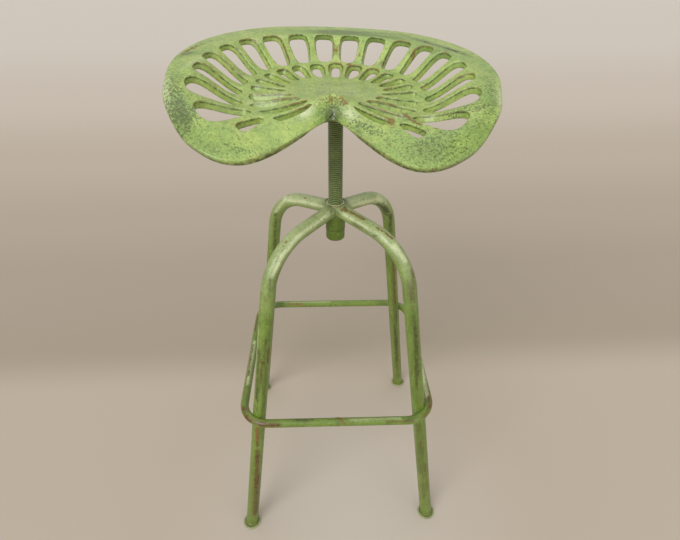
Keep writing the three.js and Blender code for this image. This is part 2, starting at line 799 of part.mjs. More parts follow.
/** The four foot discs. */
function addFeet(parent) {
  const disc = turned(
    [
      [0, 0],
      [footRadius, 0],
      [footRadius, footThickness - footChamfer],
      [footRadius - footChamfer, footThickness],
      [0, footThickness],
    ],
    turnedSides,
  );
  legNames.forEach((name, i) => {
    const place = [footRadial * Math.cos(legAngles[i]), footRadial * Math.sin(legAngles[i]), 0];
    addPiece(parent, `foot_disc_${name}`, toGeometry(disc.translate(place)), paintedSteel);
  });
}

// Footrest

/** Half the footrest's width between centre lines, so that each leg beds into its corner. */
function footrestHalfWidth() {
  const splay = legSplay * degrees;
  const legRadial = footRadial - footrestHeight * Math.tan(splay);
  const apart = (legTubeRadius + footrestRodRadius - footrestSaddle) / Math.cos(splay);
  const sideways = legRadial * Math.sin(footrestTurn * degrees);
  const cornerRadial =
    legRadial * Math.cos(footrestTurn * degrees) -
    Math.sqrt((footrestCornerRadius - apart) ** 2 - sideways ** 2);
  return cornerRadial * Math.SQRT1_2 + footrestCornerRadius;
}

/** The footrest as one closed rod with the swelling of its butt weld. */
function footrestGeometry() {
  const half = footrestHalfWidth();
  const straight = half - footrestCornerRadius;
  const seamStation = (x, swell) => ({ x, y: -half, turn: -halfTurn, swell });
  const stations = [
    seamStation(0, footrestSeamSwell),
    seamStation(-footrestSeamLength / 2, footrestSeamSwell),
    seamStation(-footrestSeamLength, 0),
  ];
  legAngles.forEach((angle) => {
    const start = -angle - eighthTurn;
    const cornerTurn = start - eighthTurn;
    const centreX = Math.SQRT2 * straight * Math.cos(cornerTurn);
    const centreY = Math.SQRT2 * straight * Math.sin(cornerTurn);
    for (let step = 0; step <= cornerSteps; step += 1) {
      const turn = start - (quarterTurn * step) / cornerSteps;
      stations.push({
        x: centreX + footrestCornerRadius * Math.cos(turn),
        y: centreY + footrestCornerRadius * Math.sin(turn),
        turn: turn - quarterTurn,
        swell: 0,
      });
    }
  });
  stations.push(seamStation(footrestSeamLength, 0), seamStation(footrestSeamLength / 2, footrestSeamSwell));
  const coordinates = [];
  const faces = [];
  stations.forEach(({ x, y, turn, swell }) => {
    const out = [Math.sin(turn), -Math.cos(turn)];
    const radius = footrestRodRadius + swell;
    for (let side = 0; side < rodSides; side += 1) {
      const angle = (side * fullTurn) / rodSides;
      const sideways = radius * Math.cos(angle);
      coordinates.push(x + out[0] * sideways, y + out[1] * sideways, radius * Math.sin(angle));
    }
  });
  const ring = (i, side) => (i % stations.length) * rodSides + (side % rodSides);
  stations.forEach((_, i) => {
    for (let side = 0; side < rodSides; side += 1) {
      faces.push(ring(i, side), ring(i + 1, side), ring(i + 1, side + 1));
      faces.push(ring(i, side), ring(i + 1, side + 1), ring(i, side + 1));
    }
  });
  return indexedGeometry(coordinates, faces);
}

/** The footrest round the legs, saddled where it bears on each of them. */
function addFootrest(parent) {
  const ring = toSolid(footrestGeometry()).rotate([0, 0, footrestTurn]).translate([0, 0, footrestHeight]);
  const legSpace = cylinder(legTubeRadius + weldGap, 0, footrestHeight + footrestHeight, turnedSides)
    .rotate([0, -legSplay, 0])
    .translate([footRadial, 0, 0]);
  const saddled = legAngles.reduce(
    (rod, angle) => rod.subtract(legSpace.rotate([0, 0, angle / degrees])),
    ring,
  );
  addPiece(parent, "footrest_ring", toGeometry(saddled), paintedSteel);
}

// The stool

const group = new THREE.Group();
group.name = "tractor_seat_stool";
const stool = new THREE.Group();
stool.position.y = -spindleSetback;
group.add(stool);
addSeat(stool);
addSpindle(stool);
addStopNut(stool);
addHub(stool);
addHubWasher(stool);
addLegs(stool);
addFeet(stool);
addFootrest(stool);

export default group;
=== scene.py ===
"""Dresses the tractor seat stool in distressed green.

An openwork cast seat stands on a screw in a frame of four bent tube legs. Sizes are
millimetres in the classes and metres in Blender's meshes.
"""

import logging
import math
from dataclasses import dataclass, field, replace
from enum import Enum

import bpy
import numpy as np
from mathutils import Matrix, Vector


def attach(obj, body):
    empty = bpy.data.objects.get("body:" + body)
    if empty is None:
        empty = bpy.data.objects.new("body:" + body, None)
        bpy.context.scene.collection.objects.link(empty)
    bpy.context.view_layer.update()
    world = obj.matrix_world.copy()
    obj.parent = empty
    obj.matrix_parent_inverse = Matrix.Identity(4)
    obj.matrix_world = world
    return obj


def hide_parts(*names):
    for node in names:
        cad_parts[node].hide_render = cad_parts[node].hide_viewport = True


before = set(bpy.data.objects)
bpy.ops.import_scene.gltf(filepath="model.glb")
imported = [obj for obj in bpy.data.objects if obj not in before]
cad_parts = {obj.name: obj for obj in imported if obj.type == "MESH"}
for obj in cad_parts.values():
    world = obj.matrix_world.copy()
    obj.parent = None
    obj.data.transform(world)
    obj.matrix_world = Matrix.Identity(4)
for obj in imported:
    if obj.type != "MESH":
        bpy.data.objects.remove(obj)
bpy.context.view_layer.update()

log = logging.getLogger("stool")
Socket = bpy.types.NodeSocket
Material = bpy.types.Material
MM = 0.001
FULL_TURN = 2 * math.pi
SPINDLE_SETBACK = 14.0  # the spindle stands this far in front of the origin
SPINDLE_AXIS = (0.0, -SPINDLE_SETBACK)


class Body(Enum):
    """The bodies that the pieces ride on."""

    FRAME = "frame"
    SCREW_WASHER = "screw_washer"
    SEAT = "seat"


class Slot(Enum):
    """The record's material slots."""

    IRON = "painted_iron"
    STEEL = "painted_steel"
    PLATED = "plated_steel"


class Layer(Enum):
    """Vertex layers that say where the paint is worn, glazed, smeared brown, speckled, thick or brushed, and
    where it is pale from dry brush and painted highlights.
    """

    WEAR = "paint_wear"
    GLAZE = "paint_glaze"
    UMBER = "paint_umber"
    SPECKLE = "paint_speckle"
    THICK = "paint_thick"
    DRY_BRUSH_AND_PAINTED_HIGHLIGHT = "paint_dry_brush_and_highlight"
    BRUSHED = "paint_brushed"


# Colours and nodes


def linear(colour: str) -> tuple[float, float, float, float]:
    """Turns an sRGB hex colour into linear RGBA.

    Args:
        colour: Hex digits such as "8fb566".

    Returns:
        Linear red, green, blue and an alpha of 1.
    """
    values = [int(colour[i : i + 2], 16) / 255 for i in (0, 2, 4)]
    turned = [v / 12.92 if v <= 0.04045 else ((v + 0.055) / 1.055) ** 2.4 for v in values]
    return (*turned, 1.0)


def empty_tree(owner: Material | bpy.types.World) -> bpy.types.NodeTree:
    """Clears the node tree of a material or a world.

    Args:
        owner: The material or the world.

    Returns:
        The empty tree.
    """
    owner.use_nodes = True
    owner.node_tree.nodes.clear()
    return owner.node_tree


def add_node(
    tree: bpy.types.NodeTree, kind: str, inputs: dict | None = None, **settings: object
) -> bpy.types.Node:
    """Adds one node with its settings, values and links.

    Args:
        tree: The node tree that gets the node.
        kind: The node's type, such as "ShaderNodeMix".
        inputs: Socket name or number to a value, or to the socket that feeds it.
        settings: Properties of the node, such as an operation.

    Returns:
        The new node.
    """
    node = tree.nodes.new(kind)
    for name, value in settings.items():
        setattr(node, name, value)
    for key, value in (inputs or {}).items():
        socket = node.inputs[key]
        if isinstance(value, Socket):
            tree.links.new(value, socket)
        else:
            socket.default_value = value
    return node


def per_metre(size_mm: float) -> float:
    """Scale of a noise whose blotches are about this many millimetres across."""
    return 1 / (size_mm * MM)


@dataclass
class PaintGraph:
    """Small sums on one material's node tree, in the object's own coordinates."""

    tree: bpy.types.NodeTree

    def __post_init__(self) -> None:
        """Finds the coordinates that every pattern is laid out in."""
        self.coordinates = add_node(self.tree, "ShaderNodeTexCoord").outputs["Object"]

    def noise(self, size_mm: float, detail: float = 3, roughness: float = 0.55, seed: float = 0) -> Socket:
        """Value from 0 to 1 of a cloudy pattern.

        Args:
            size_mm: Size of a blotch.
            detail: How many finer layers are added.
            roughness: How strong the finer layers are.
            seed: Fourth coordinate, which picks another pattern.

        Returns:
            The pattern's socket.
        """
        inputs = {"Scale": per_metre(size_mm), "Detail": detail, "Roughness": roughness}
        inputs |= {"Vector": self.coordinates, "W": seed}
        return add_node(self.tree, "ShaderNodeTexNoise", inputs, noise_dimensions="4D").outputs["Fac"]

    def stretched(self, size_mm: tuple[float, float, float], seed: float = 0) -> Socket:
        """Value from 0 to 1 of a streaky pattern.

        Args:
            size_mm: Size of a streak along X, Y and Z.
            seed: Fourth coordinate, which picks another pattern.

        Returns:
            The pattern's socket.
        """
        scale = tuple(per_metre(size) for size in size_mm)
        stretch = {0: self.coordinates, 1: scale}
        scaled = add_node(self.tree, "ShaderNodeVectorMath", stretch, operation="MULTIPLY").outputs[0]
        inputs = {"Vector": scaled, "W": seed, "Scale": 1.0, "Detail": 3.0, "Roughness": 0.6}
        return add_node(self.tree, "ShaderNodeTexNoise", inputs, noise_dimensions="4D").outputs["Fac"]

    def height(self) -> Socket:
        """Height above the floor in metres."""
        return add_node(self.tree, "ShaderNodeSeparateXYZ", {0: self.coordinates}).outputs["Z"]

    def layer(self, layer: Layer) -> Socket:
        """The mesh's own value for a layer, zero where it has none."""
        return add_node(self.tree, "ShaderNodeAttribute", attribute_name=layer.value).outputs["Fac"]

    def math(self, operation: str, a: object, b: object = 0.0, clamp: bool = False) -> Socket:
        """Works out one operation on two values or sockets, held from 0 to 1 if asked."""
        node = add_node(self.tree, "ShaderNodeMath", {0: a, 1: b}, operation=operation, use_clamp=clamp)
        return node.outputs[0]

    def times(self, a: object, b: object, clamp: bool = False) -> Socket:
        """Product of two values or sockets."""
        return self.math("MULTIPLY", a, b, clamp)

    def plus(self, a: object, b: object, clamp: bool = False) -> Socket:
        """Sum of two values or sockets."""
        return self.math("ADD", a, b, clamp)

    def step(self, value: object, low: float, high: float, top: float = 1.0) -> Socket:
        """Rises smoothly from 0 at low to top at high.

        Args:
            value: The value that is cut.
            low: Value where it starts to rise.
            high: Value where it has risen in full.
            top: What it gives there.

        Returns:
            The result.
        """
        inputs = {"Value": value, "From Min": low, "From Max": high, "To Max": top}
        node = add_node(self.tree, "ShaderNodeMapRange", inputs, interpolation_type="SMOOTHSTEP")
        return node.outputs["Result"]

    def mix(self, amount: object, under: object, over: object) -> Socket:
        """Lays one colour over another."""
        inputs = {"Factor": amount, 6: under, 7: over}
        return add_node(self.tree, "ShaderNodeMix", inputs, data_type="RGBA").outputs[2]

    def surface(self, relief: Socket, strength: float, depth_mm: float, inputs: dict[str, object]) -> None:
        """Ends the graph in a shader with a grainy surface.

        Args:
            relief: Height of the grain, from 0 to 1.
            strength: How strongly the grain shades.
            depth_mm: Depth of the grain.
            inputs: Values and sockets for the shader.
        """
        grain = {"Height": relief, "Strength": strength, "Distance": depth_mm * MM}
        normal = add_node(self.tree, "ShaderNodeBump", grain).outputs[0]
        shader = add_node(self.tree, "ShaderNodeBsdfPrincipled", {**inputs, "Normal": normal})
        add_node(self.tree, "ShaderNodeOutputMaterial", {"Surface": shader.outputs[0]})


# Finishes


@dataclass(frozen=True)
class DistressedEnamel:
    """Brushed enamel over brown primer, glazed dark and rubbed back on cast iron or steel tube.

    The eye sees a mottled yellow-green, darker where the paint lies thick, olive to brown glaze
    in the recesses, dark pits, pale dry brush and painted highlights on the high places and brown
    primer where the paint is rubbed away.
    """

    name: str
    green: str  # the enamel where it lies thin, in good light
    deep_green: str  # the enamel where it lies thick
    pale_green: str = "d3dcab"  # dry brush over the high places, and painted highlights
    streak_green: str = "c6d285"  # the hairs' streaks
    glaze: str = "3f4a1b"  # dark olive antiquing glaze
    umber: str = "5a3b10"  # the same glaze where it has dried brown
    primer: str = "83652a"  # brown primer, seen through thin green
    rust: str = "5e3c12"  # iron that shows through the primer
    dots: str = "59672f"  # specks of glaze in the grain
    roughness: float = 0.4
    coat: float = 0.4
    mottle_mm: float = 24.0  # patches of thinner and thicker enamel
    fine_mm: float = 5.0  # stipple of the brush
    stipple: float = 0.3  # how dark the stipple is
    grain_mm: float = 2.4  # sand grain, drawn coarser than its real 0.8 mm so that it shows
    grain_depth: float = 0.4
    cloud_mm: float = 6.0  # where the glaze has gathered
    chip_mm: float = 5.5  # bare chips
    rust_mm: float = 3.0
    sheen_mm: float = 9.0  # duller and glossier places
    wave_mm: float = 14.0  # waves of the brushed coat
    relief_mm: float = 0.6
    coat_roughness: float = 0.16
    uneven_sheen: float = 0.24
    bare_dullness: float = 0.25  # how much rougher bare primer is
    bare_depth: float = 0.35  # how far it lies under the paint, as a share of the relief
    thick_gain: float = 1.6  # how strongly each layer counts
    wear_gain: float = 0.34
    speckle_gain: float = 0.16
    streaks_mm: tuple[float, float, float] = (42.0, 2.6, 2.6)  # along X, Y and Z
    streak_all_over: float = 0.0  # pale streaks that no layer asks for
    streak_top: float = 10.0  # metres above the floor at which the streaks end
    streak_fade: float = 0.05
    glaze_streaks: float = 0.0  # brown streaks, all over
    umber_below: float = 0.0  # share of umber glaze at the floor, fading out upwards
    umber_height: float = 0.5  # metres above the floor at which it has faded out

    def below_streak_top(self, paint: PaintGraph) -> Socket:
        """1 below the height at which the streaks end, and 0 above it."""
        return paint.step(paint.height(), self.streak_top, self.streak_top - self.streak_fade)

    def green_coats(self, paint: PaintGraph) -> Socket:
        """Lays the green coats: mottled, stippled, dry-brushed with painted highlights, and streaked.

        Args:
            paint: The material's sums.

        Returns:
            The colour.
        """
        green, deep = linear(self.green), linear(self.deep_green)
        mottle = paint.step(paint.noise(self.mottle_mm, detail=4, roughness=0.6), 0.3, 0.66)
        thick = paint.times(paint.layer(Layer.THICK), self.thick_gain)
        colour = paint.mix(paint.math("SUBTRACT", mottle, thick, clamp=True), deep, green)
        deeper = paint.step(thick, 0.5, self.thick_gain, 0.55)
        colour = paint.mix(deeper, colour, linear(self.glaze))
        stipple = paint.noise(self.fine_mm, roughness=0.75, seed=2)
        colour = paint.mix(paint.step(stipple, 0.42, 0.68, self.stipple), colour, linear(self.dots))
        pale = paint.noise(self.grain_mm * 1.4, roughness=0.7, seed=6)
        pale = paint.step(pale, 0.54, 0.72, self.stipple + 0.1)
        colour = paint.mix(pale, colour, linear(self.streak_green))
        streak = paint.step(paint.stretched(self.streaks_mm, seed=3), 0.45, 0.72)
        brushed = paint.times(self.below_streak_top(paint), self.streak_all_over)
        brushed = paint.plus(paint.layer(Layer.BRUSHED), brushed, clamp=True)
        colour = paint.mix(paint.times(streak, brushed), colour, linear(self.streak_green))
        # Pale dry brush together with painted highlights
        uneven = paint.plus(paint.times(mottle, 0.4), 0.75)
        dry_brush_and_highlight = paint.times(paint.layer(Layer.DRY_BRUSH_AND_PAINTED_HIGHLIGHT), uneven, clamp=True)
        return paint.mix(dry_brush_and_highlight, colour, linear(self.pale_green))

    def glazed(self, paint: PaintGraph, colour: Socket) -> Socket:
        """Lays the glazes over the green: olive and brown smears, long streaks and specks.

        Args:
            paint: The material's sums.
            colour: The green coats.

        Returns:
            The colour.
        """
        cloud = paint.step(paint.noise(self.cloud_mm, detail=4, roughness=0.7, seed=5), 0.34, 0.66)
        for layer, tint, least in ((Layer.GLAZE, self.glaze, 0.35), (Layer.UMBER, self.umber, 0.6)):
            uneven = paint.plus(cloud, least)
            smear = paint.times(paint.layer(layer), uneven, clamp=True)
            colour = paint.mix(smear, colour, linear(tint))
        streak = paint.step(paint.stretched(self.streaks_mm, seed=31), 0.52, 0.76, self.glaze_streaks)
        streak = paint.times(streak, self.below_streak_top(paint))
        colour = paint.mix(streak, colour, linear(self.umber))
        faded = paint.times(paint.height(), self.umber_below / self.umber_height)
        low = paint.math("MAXIMUM", paint.math("SUBTRACT", self.umber_below, faded), 0.0)
        colour = paint.mix(low, colour, linear(self.umber))
        grain = paint.noise(self.grain_mm, roughness=0.7, seed=8)
        often = paint.times(paint.layer(Layer.SPECKLE), self.speckle_gain)
        speckle = paint.step(paint.plus(grain, often), 0.56, 0.67, 0.85)
        return paint.mix(speckle, colour, linear(self.dots))

    def worn(self, paint: PaintGraph, colour: Socket) -> tuple[Socket, Socket]:
        """Rubs the paint back to primer and iron.

        Args:
            paint: The material's sums.
            colour: The glazed coats.

        Returns:
            The colour, and how bare the primer lies.
        """
        chips = paint.times(paint.layer(Layer.WEAR), self.wear_gain)
        chips = paint.plus(paint.noise(self.chip_mm, detail=5, roughness=0.75, seed=11), chips)
        bare = paint.step(chips, 0.6, 0.8, 0.9)
        rust = paint.step(paint.noise(self.rust_mm, roughness=0.7, seed=12), 0.45, 0.65, 0.7)
        ground = paint.mix(rust, linear(self.primer), linear(self.rust))
        return paint.mix(bare, colour, ground), bare

    def build(self) -> Material:
        """Makes the node material.

        Returns:
            The material, for any number of pieces.
        """
        material = bpy.data.materials.new(self.name)
        paint = PaintGraph(empty_tree(material))
        colour, bare = self.worn(paint, self.glazed(paint, self.green_coats(paint)))
        sheen = paint.noise(self.sheen_mm, roughness=0.6, seed=14)
        sheen = paint.times(sheen, self.uneven_sheen)
        roughness = paint.plus(sheen, self.roughness - self.uneven_sheen / 2)
        duller = paint.times(bare, self.bare_dullness)
        roughness = paint.plus(roughness, duller, clamp=True)
        relief = paint.noise(self.grain_mm, roughness=0.6, seed=17)
        relief = paint.math("SUBTRACT", relief, paint.times(bare, self.bare_depth))
        relief = paint.plus(relief, paint.noise(self.wave_mm, detail=2, roughness=0.5, seed=20))
        inputs = {"Base Color": colour, "Roughness": roughness, "IOR": 1.5}
        inputs |= {"Coat Weight": self.coat, "Coat Roughness": self.coat_roughness}
        paint.surface(relief, self.grain_depth, self.relief_mm, inputs)
        return material


@dataclass(frozen=True)
class ZincPlate:
    """Zinc plated steel of the bolts under the seat: dull grey with faint cloudy stains."""

    name: str = "zinc_plated_steel"
    colour: str = "a7a8a0"
    stain: str = "6d6553"
    stain_mm: float = 4.0
    grain_mm: float = 0.8

    def build(self) -> Material:
        """Makes the node material.

        Returns:
            The material.
        """
        material = bpy.data.materials.new(self.name)
        paint = PaintGraph(empty_tree(material))
        stain = paint.step(paint.noise(self.stain_mm, detail=4, roughness=0.6, seed=2), 0.5, 0.7, 0.6)
        colour = paint.mix(stain, linear(self.colour), linear(self.stain))
        roughness = paint.plus(paint.times(stain, 0.3), 0.32)
        inputs = {"Base Color": colour, "Metallic": 0.9, "Roughness": roughness}
        paint.surface(paint.noise(self.grain_mm, detail=2), 0.2, 0.1, inputs)
        return material


# On the casting: pale yellow-green with fine dark pits, which lets the eye see sand-cast iron
IRON_PAINT = DistressedEnamel(
    "distressed_enamel_on_cast_iron",
    green="b2c866",
    deep_green="94b258",
    dots="4b5827",
    stipple=0.36,
    grain_mm=2.1,
)
# On the tubes: deeper green, smooth, with long brush streaks and browner glaze towards the floor
TUBE_PAINT = DistressedEnamel(
    "distressed_enamel_on_steel_tube",
    green="779438",
    deep_green="65802c",
    dots="4a5520",
    mottle_mm=30.0,
    stipple=0.12,
    grain_depth=0.12,
    streaks_mm=(2.4, 2.4, 46.0),
    streak_all_over=0.12,
    glaze_streaks=0.7,
    streak_top=0.56,
    umber_below=0.2,
    coat=0.35,
)
# On the hub, its washer and the nut: one thick dark coat, streaked round the turned steel
HUB_PAINT = replace(
    TUBE_PAINT,
    name="thick_enamel_on_turned_steel",
    green="5c7b12",
    deep_green="4c640e",
    coat=0.3,
    streaks_mm=(14.0, 14.0, 1.6),
    umber_below=0.0,
    streak_top=10.0,
    glaze_streaks=0.3,
)
# On the thread: the same thick coat, darkest in the grooves
THREAD_PAINT = replace(
    TUBE_PAINT,
    name="thick_enamel_on_rolled_thread",
    green="587218",
    deep_green="485b14",
    glaze="35440f",
    umber_below=0.0,
    streak_top=10.0,
    glaze_streaks=0.2,
)


# Meshes


@dataclass(frozen=True)
class Role:
    """A piece's name, the CAD node that it stands for, its body and its material slot."""

    piece: str
    node: str
    body: Body
    slot: Slot


def add_piece(
    role: Role,
    points: np.ndarray,
    faces: list[list[int]],
    material: Material,
    layers: dict[Layer, np.ndarray] | None = None,
    sharp_deg: float = 40.0,
) -> None:
    """Adds a smooth-shaded piece that rides on its body in place of its CAD node.

    Args:
        role: What the piece is in the stool.
        points: Rows of x, y, z in millimetres, in the stool's frame.
        faces: Lists of point numbers.
        material: Its finish.
        layers: Values of the paint layers at each point.
        sharp_deg: Edges that bend more than this are shaded as edges.
    """
    mesh = bpy.data.meshes.new(role.piece)
    mesh.from_pydata((points * MM).tolist(), [], faces)
    mesh.validate()
    mesh.polygons.foreach_set("use_smooth", [True] * len(mesh.polygons))
    mesh.set_sharp_from_angle(angle=math.radians(sharp_deg))
    for layer, values in (layers or {}).items():
        attribute = mesh.attributes.new(layer.value, "FLOAT", "POINT")
        attribute.data.foreach_set("value", np.asarray(values, np.float32))
    mesh.materials.append(material)
    piece = bpy.data.objects.new(role.piece, mesh)
    bpy.context.scene.collection.objects.link(piece)
    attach(piece, role.body.value)
    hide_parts(role.node)
    log.info("%s rides on %s and stands for %s", role.piece, role.body.value, role.node)


def turned(points: np.ndarray, turn: float) -> np.ndarray:
    """Turns points about the spindle's axis and stands them in the stool's frame.

    Args:
        points: The points before the turn.
        turn: Angle of the turn.

    Returns:
        The turned points.
    """
    x = points[:, 0] * math.cos(turn) - points[:, 1] * math.sin(turn)
    y = points[:, 0] * math.sin(turn) + points[:, 1] * math.cos(turn) - SPINDLE_SETBACK
    return np.stack([x, y, points[:, 2]], 1)


def ring_faces(rings: int, sides: int, closed: bool = False) -> list[list[int]]:
    """Faces between neighbouring rings of points, each ring with as many points.

    Args:
        rings: Number of rings.
        sides: Points in each ring.
        closed: Whether the last ring joins the first.

    Returns:
        Lists of four point numbers.
    """
    faces = []
    for i in range(rings if closed else rings - 1):
        here, there = i * sides, ((i + 1) % rings) * sides
        for j in range(sides):
            k = (j + 1) % sides
            faces.append([here + j, here + k, there + k, there + j])
    return faces


def turned_over(faces: list[list[int]]) -> list[list[int]]:
    """The same faces, looking the other way."""
    return [[face[0], *face[:0:-1]] for face in faces]


def revolve(profile: list[tuple], sides: int, centre: tuple[float, float] = (0.0, 0.0)) -> tuple:
    """Turns a profile about an upright axis.

    Args:
        profile: Radius and height in millimetres, from the bottom outwards and up. A radius may
            be an array with a value for each side.
        sides: Points round the axis.
        centre: Place of the axis.

    Returns:
        Points and faces.
    """
    turns = np.arange(sides) * FULL_TURN / sides
    rings = [
        np.stack([centre[0] + r * np.cos(turns), centre[1] + r * np.sin(turns), np.full(sides, z)], 1)
        for r, z in profile
    ]
    return np.vstack(rings), ring_faces(len(profile), sides)


def round_corner(
    centre: tuple[float, float], radius: float, start_deg: float, end_deg: float, steps: int
) -> list[tuple[float, float]]:
    """Points of a profile's rounded corner about a centre; 0 degrees is outwards and 90 is up."""
    turns = np.radians(np.linspace(start_deg, end_deg, steps + 1))
    return [(centre[0] + radius * math.cos(t), centre[1] + radius * math.sin(t)) for t in turns]


def soft_edges(radius: float, low: float, high: float, soft: float, steps: int) -> tuple[list, list]:
    """Points of the rounded lower and upper outer edge of a ring's profile."""
    lower = round_corner((radius - soft, low + soft), soft, -90, 0, steps)
    return lower, round_corner((radius - soft, high - soft), soft, 0, 90, steps)


def near(distance: np.ndarray, width: float) -> np.ndarray:
    """Value that is 1 at no distance and fades over a width."""
    return np.exp(-((distance / width) ** 2))


def blotches(points: np.ndarray, size: float, seed: int) -> np.ndarray:
    """A smooth random value from 0 to 1 at each point, made of a few waves.

    Args:
        points: Rows of x, y, z in millimetres.
        size: About how wide a blotch is, in millimetres.
        seed: Picks the pattern.

    Returns:
        One value for each point.
    """
    random = np.random.default_rng(seed)
    total = np.zeros(len(points))
    for _ in range(12):
        direction = random.normal(size=3)
        wave = direction / np.linalg.norm(direction) * FULL_TURN / (size * random.uniform(1.2, 3.0))
        total += np.sin(points @ wave + random.uniform(0, FULL_TURN))
    return 1 / (1 + np.exp(-total / 2.2))


@dataclass(frozen=True)
class PaintStroke:
    """A stroke of paint or wear on a tube, between two places in the stool's millimetres."""

    start: tuple[float, float, float]
    end: tuple[float, float, float]
    width: float
    amount: float

    def strength(self, points: np.ndarray) -> np.ndarray:
        """Value of the stroke at points, strongest on its middle line.

        Args:
            points: Places on the piece.

        Returns:
            A value for each point.
        """
        start, run = np.array(self.start), np.subtract(self.end, self.start)
        share = np.clip((points - start) @ run / (run @ run), 0, 1)
        away = np.linalg.norm(points - start - share[:, None] * run, axis=1)
        return self.amount * near(away, self.width)


def filled(kind: type, rows: dict[Layer, tuple]) -> dict[Layer, tuple]:
    """Makes a table's rows of numbers into marks or strokes, layer by layer."""
    return {layer: tuple(kind(*row) for row in group) for layer, group in rows.items()}


def stroked(
    layers: dict[Layer, np.ndarray], points: np.ndarray, strokes: dict[Layer, tuple[PaintStroke, ...]]
) -> dict[Layer, np.ndarray]:
    """Adds strokes to the paint layers of a piece.

    Args:
        layers: The layers so far.
        points: The piece's points in the stool's millimetres.
        strokes: The strokes that may touch the piece.

    Returns:
        The layers with the strokes in them.
    """
    found = dict(layers)
    for layer, group in strokes.items():
        for stroke in group:
            found[layer] = found.get(layer, 0) + stroke.strength(points)
    return {layer: np.clip(values, 0, 1) for layer, values in found.items()}


# Seat casting


@dataclass(frozen=True)
class SeatMark:
    """A worn, glazed or speckled place on the seat, in the seat's own millimetres."""

    x: float
    y: float
    length: float  # half its length
    width: float  # half its width
    turn_deg: float = 0.0  # direction of its length from the seat's x axis
    amount: float = 1.0

    def strength(self, x: np.ndarray, y: np.ndarray) -> np.ndarray:
        """Value of the mark at places on the seat, strongest at its middle.

        Args:
            x: Places along X.
            y: Places along Y.

        Returns:
            A value for each place.
        """
        turn = math.radians(self.turn_deg)
        lengthwise = ((x - self.x) * math.cos(turn) + (y - self.y) * math.sin(turn)) / self.length
        crosswise = ((y - self.y) * math.cos(turn) - (x - self.x) * math.sin(turn)) / self.width
        return self.amount * np.exp(-(lengthwise**2) - crosswise**2)


# Each row is x, y, half length, half width and, where it has them, direction and amount
SEAT_MARKS = filled(SeatMark, {
    # Rubbed to brown: the rear rim and ribs, the pommel, the ribs and the rim of the +X front
    Layer.WEAR: (
        (-201, 43, 30, 4, 68, 0.9), (-3, 143, 7, 4, 90, 0.9), (17, 118, 6, 4, 7, 0.9),
        (34, 135, 4, 3, 90, 0.8), (117, 105, 7, 4, -64, 0.9), (-3, -70, 17, 5, 2, 0.55),
        (13, -75, 7, 5, -50, 0.7), (69, -102, 12, 4, -86), (69, -69, 19, 2.5, -7),
        (90, -86, 17, 4, -78), (99, -106, 14, 3, -60), (61, -91, 11, 3, -32),
        (131, -120, 24, 2.5, 21, 0.9), (88, -146, 26, 4, -18, 0.25), (191, -92, 8, 4, 82, 0.8),
        (64, -139, 5, 3, -29, 0.6),
    ),
    # Dark olive glaze: the wings, the rear rim on both sides, the front edges, ends of rear slots
    Layer.GLAZE: (
        (-171, -131, 14, 9, -51, 0.25), (159, -128, 22, 8, -9, 0.4), (-202, 21, 13, 7, 63, 0.8),
        (-183, 84, 27, 3, 62, 0.2), (130, 132, 39, 4.5, -52), (170, 80, 33, 5, -53),
        (-26, 185, 40, 4, 13, 0.45), (54, 179, 49, 5, -9, 0.6), (-71, -154, 22, 3, 36, 0.3),
        (33, -124, 21, 4, -46, 0.6), (-1, -91, 9, 5, 0, 0.6), (-56, 134, 6, 2, -51, 0.6),
        (93, 104, 7, 2.5, 37, 0.6), (69, 116, 10, 2.5, 47, 0.5),
    ),
    # Dark specks: the wings, the pommel's front, the plate, the outer rims and the lobes
    Layer.SPECKLE: (
        (-170, -129, 24, 17, -48), (-3, -78, 20, 13, 0, 0.75), (158, -97, 37, 14, -35, 0.6),
        (37, -113, 29, 8, -29, 0.9), (-2, 0, 58, 48, 0, 0.35), (-191, -91, 58, 13, -74, 0.8),
        (190, -60, 59, 13, 82, 0.5), (117, -148, 45, 26, -10, 0.7), (-100, -159, 32, 10, 6, 0.4),
    ),
    # Thick, dark enamel: the -X wing, the pommel's front, the rims and the front edges
    Layer.THICK: (
        (-170, -129, 23, 14, -51, 0.6), (-1, -88, 18, 12, 0, 0.9), (-22, 174, 50, 12, 10, 0.7),
        (55, 163, 55, 12, -16, 0.85), (2, 176, 30, 12, 0, 0.7), (138, 92, 75, 12, -52, 0.65),
        (-191, -91, 54, 10, -74, 0.25), (190, -60, 59, 13, 82, 0.4), (109, -153, 48, 24, -8, 0.65),
        (-140, -160, 26, 12, -20, 0.6), (165, -143, 25, 9, 42, 0.4), (-87, -155, 31, 5, 16, 0.3),
    ),
    # Pale: painted highlights on the rims and the pommel's flanks, dry brush on the plate and the ring round
    # it
    Layer.DRY_BRUSH_AND_PAINTED_HIGHLIGHT: (
        (-199, -89, 41, 5, -74, 0.7), (200, -78, 31, 5, 80, 0.5), (-114, 123, 34, 5, 40, 0.3),
        (-183, -5, 28, 5, 73, 0.35), (-34, -93, 12, 7, 53, 0.9), (19, -90, 13, 7, -53, 0.8),
        (-2, 0, 58, 50, 0, 0.16), (-112, -14, 5, 4, -61, 0.2), (-110, -48, 14, 4, -75, 0.3),
        (26, -13, 7, 3, 0, 0.5),
    ),
    # The plate is brushed from side to side
    Layer.BRUSHED: (
        (-2, 0, 62, 50, 0, 0.7),
    ),
})

SLOT_PITCHES = 24
SLOT_PITCH = FULL_TURN / SLOT_PITCHES  # from one slot to the next


def eased(t: np.ndarray, start: object, end: object, start_slope: object, end_slope: object) -> np.ndarray:
    """Smooth curve from start to end as t goes from 0 to 1, with the given slopes there."""
    blend = t * t * (3 - 2 * t)
    return start + (end - start) * blend + t * (1 - t) ** 2 * start_slope - t * t * (1 - t) * end_slope


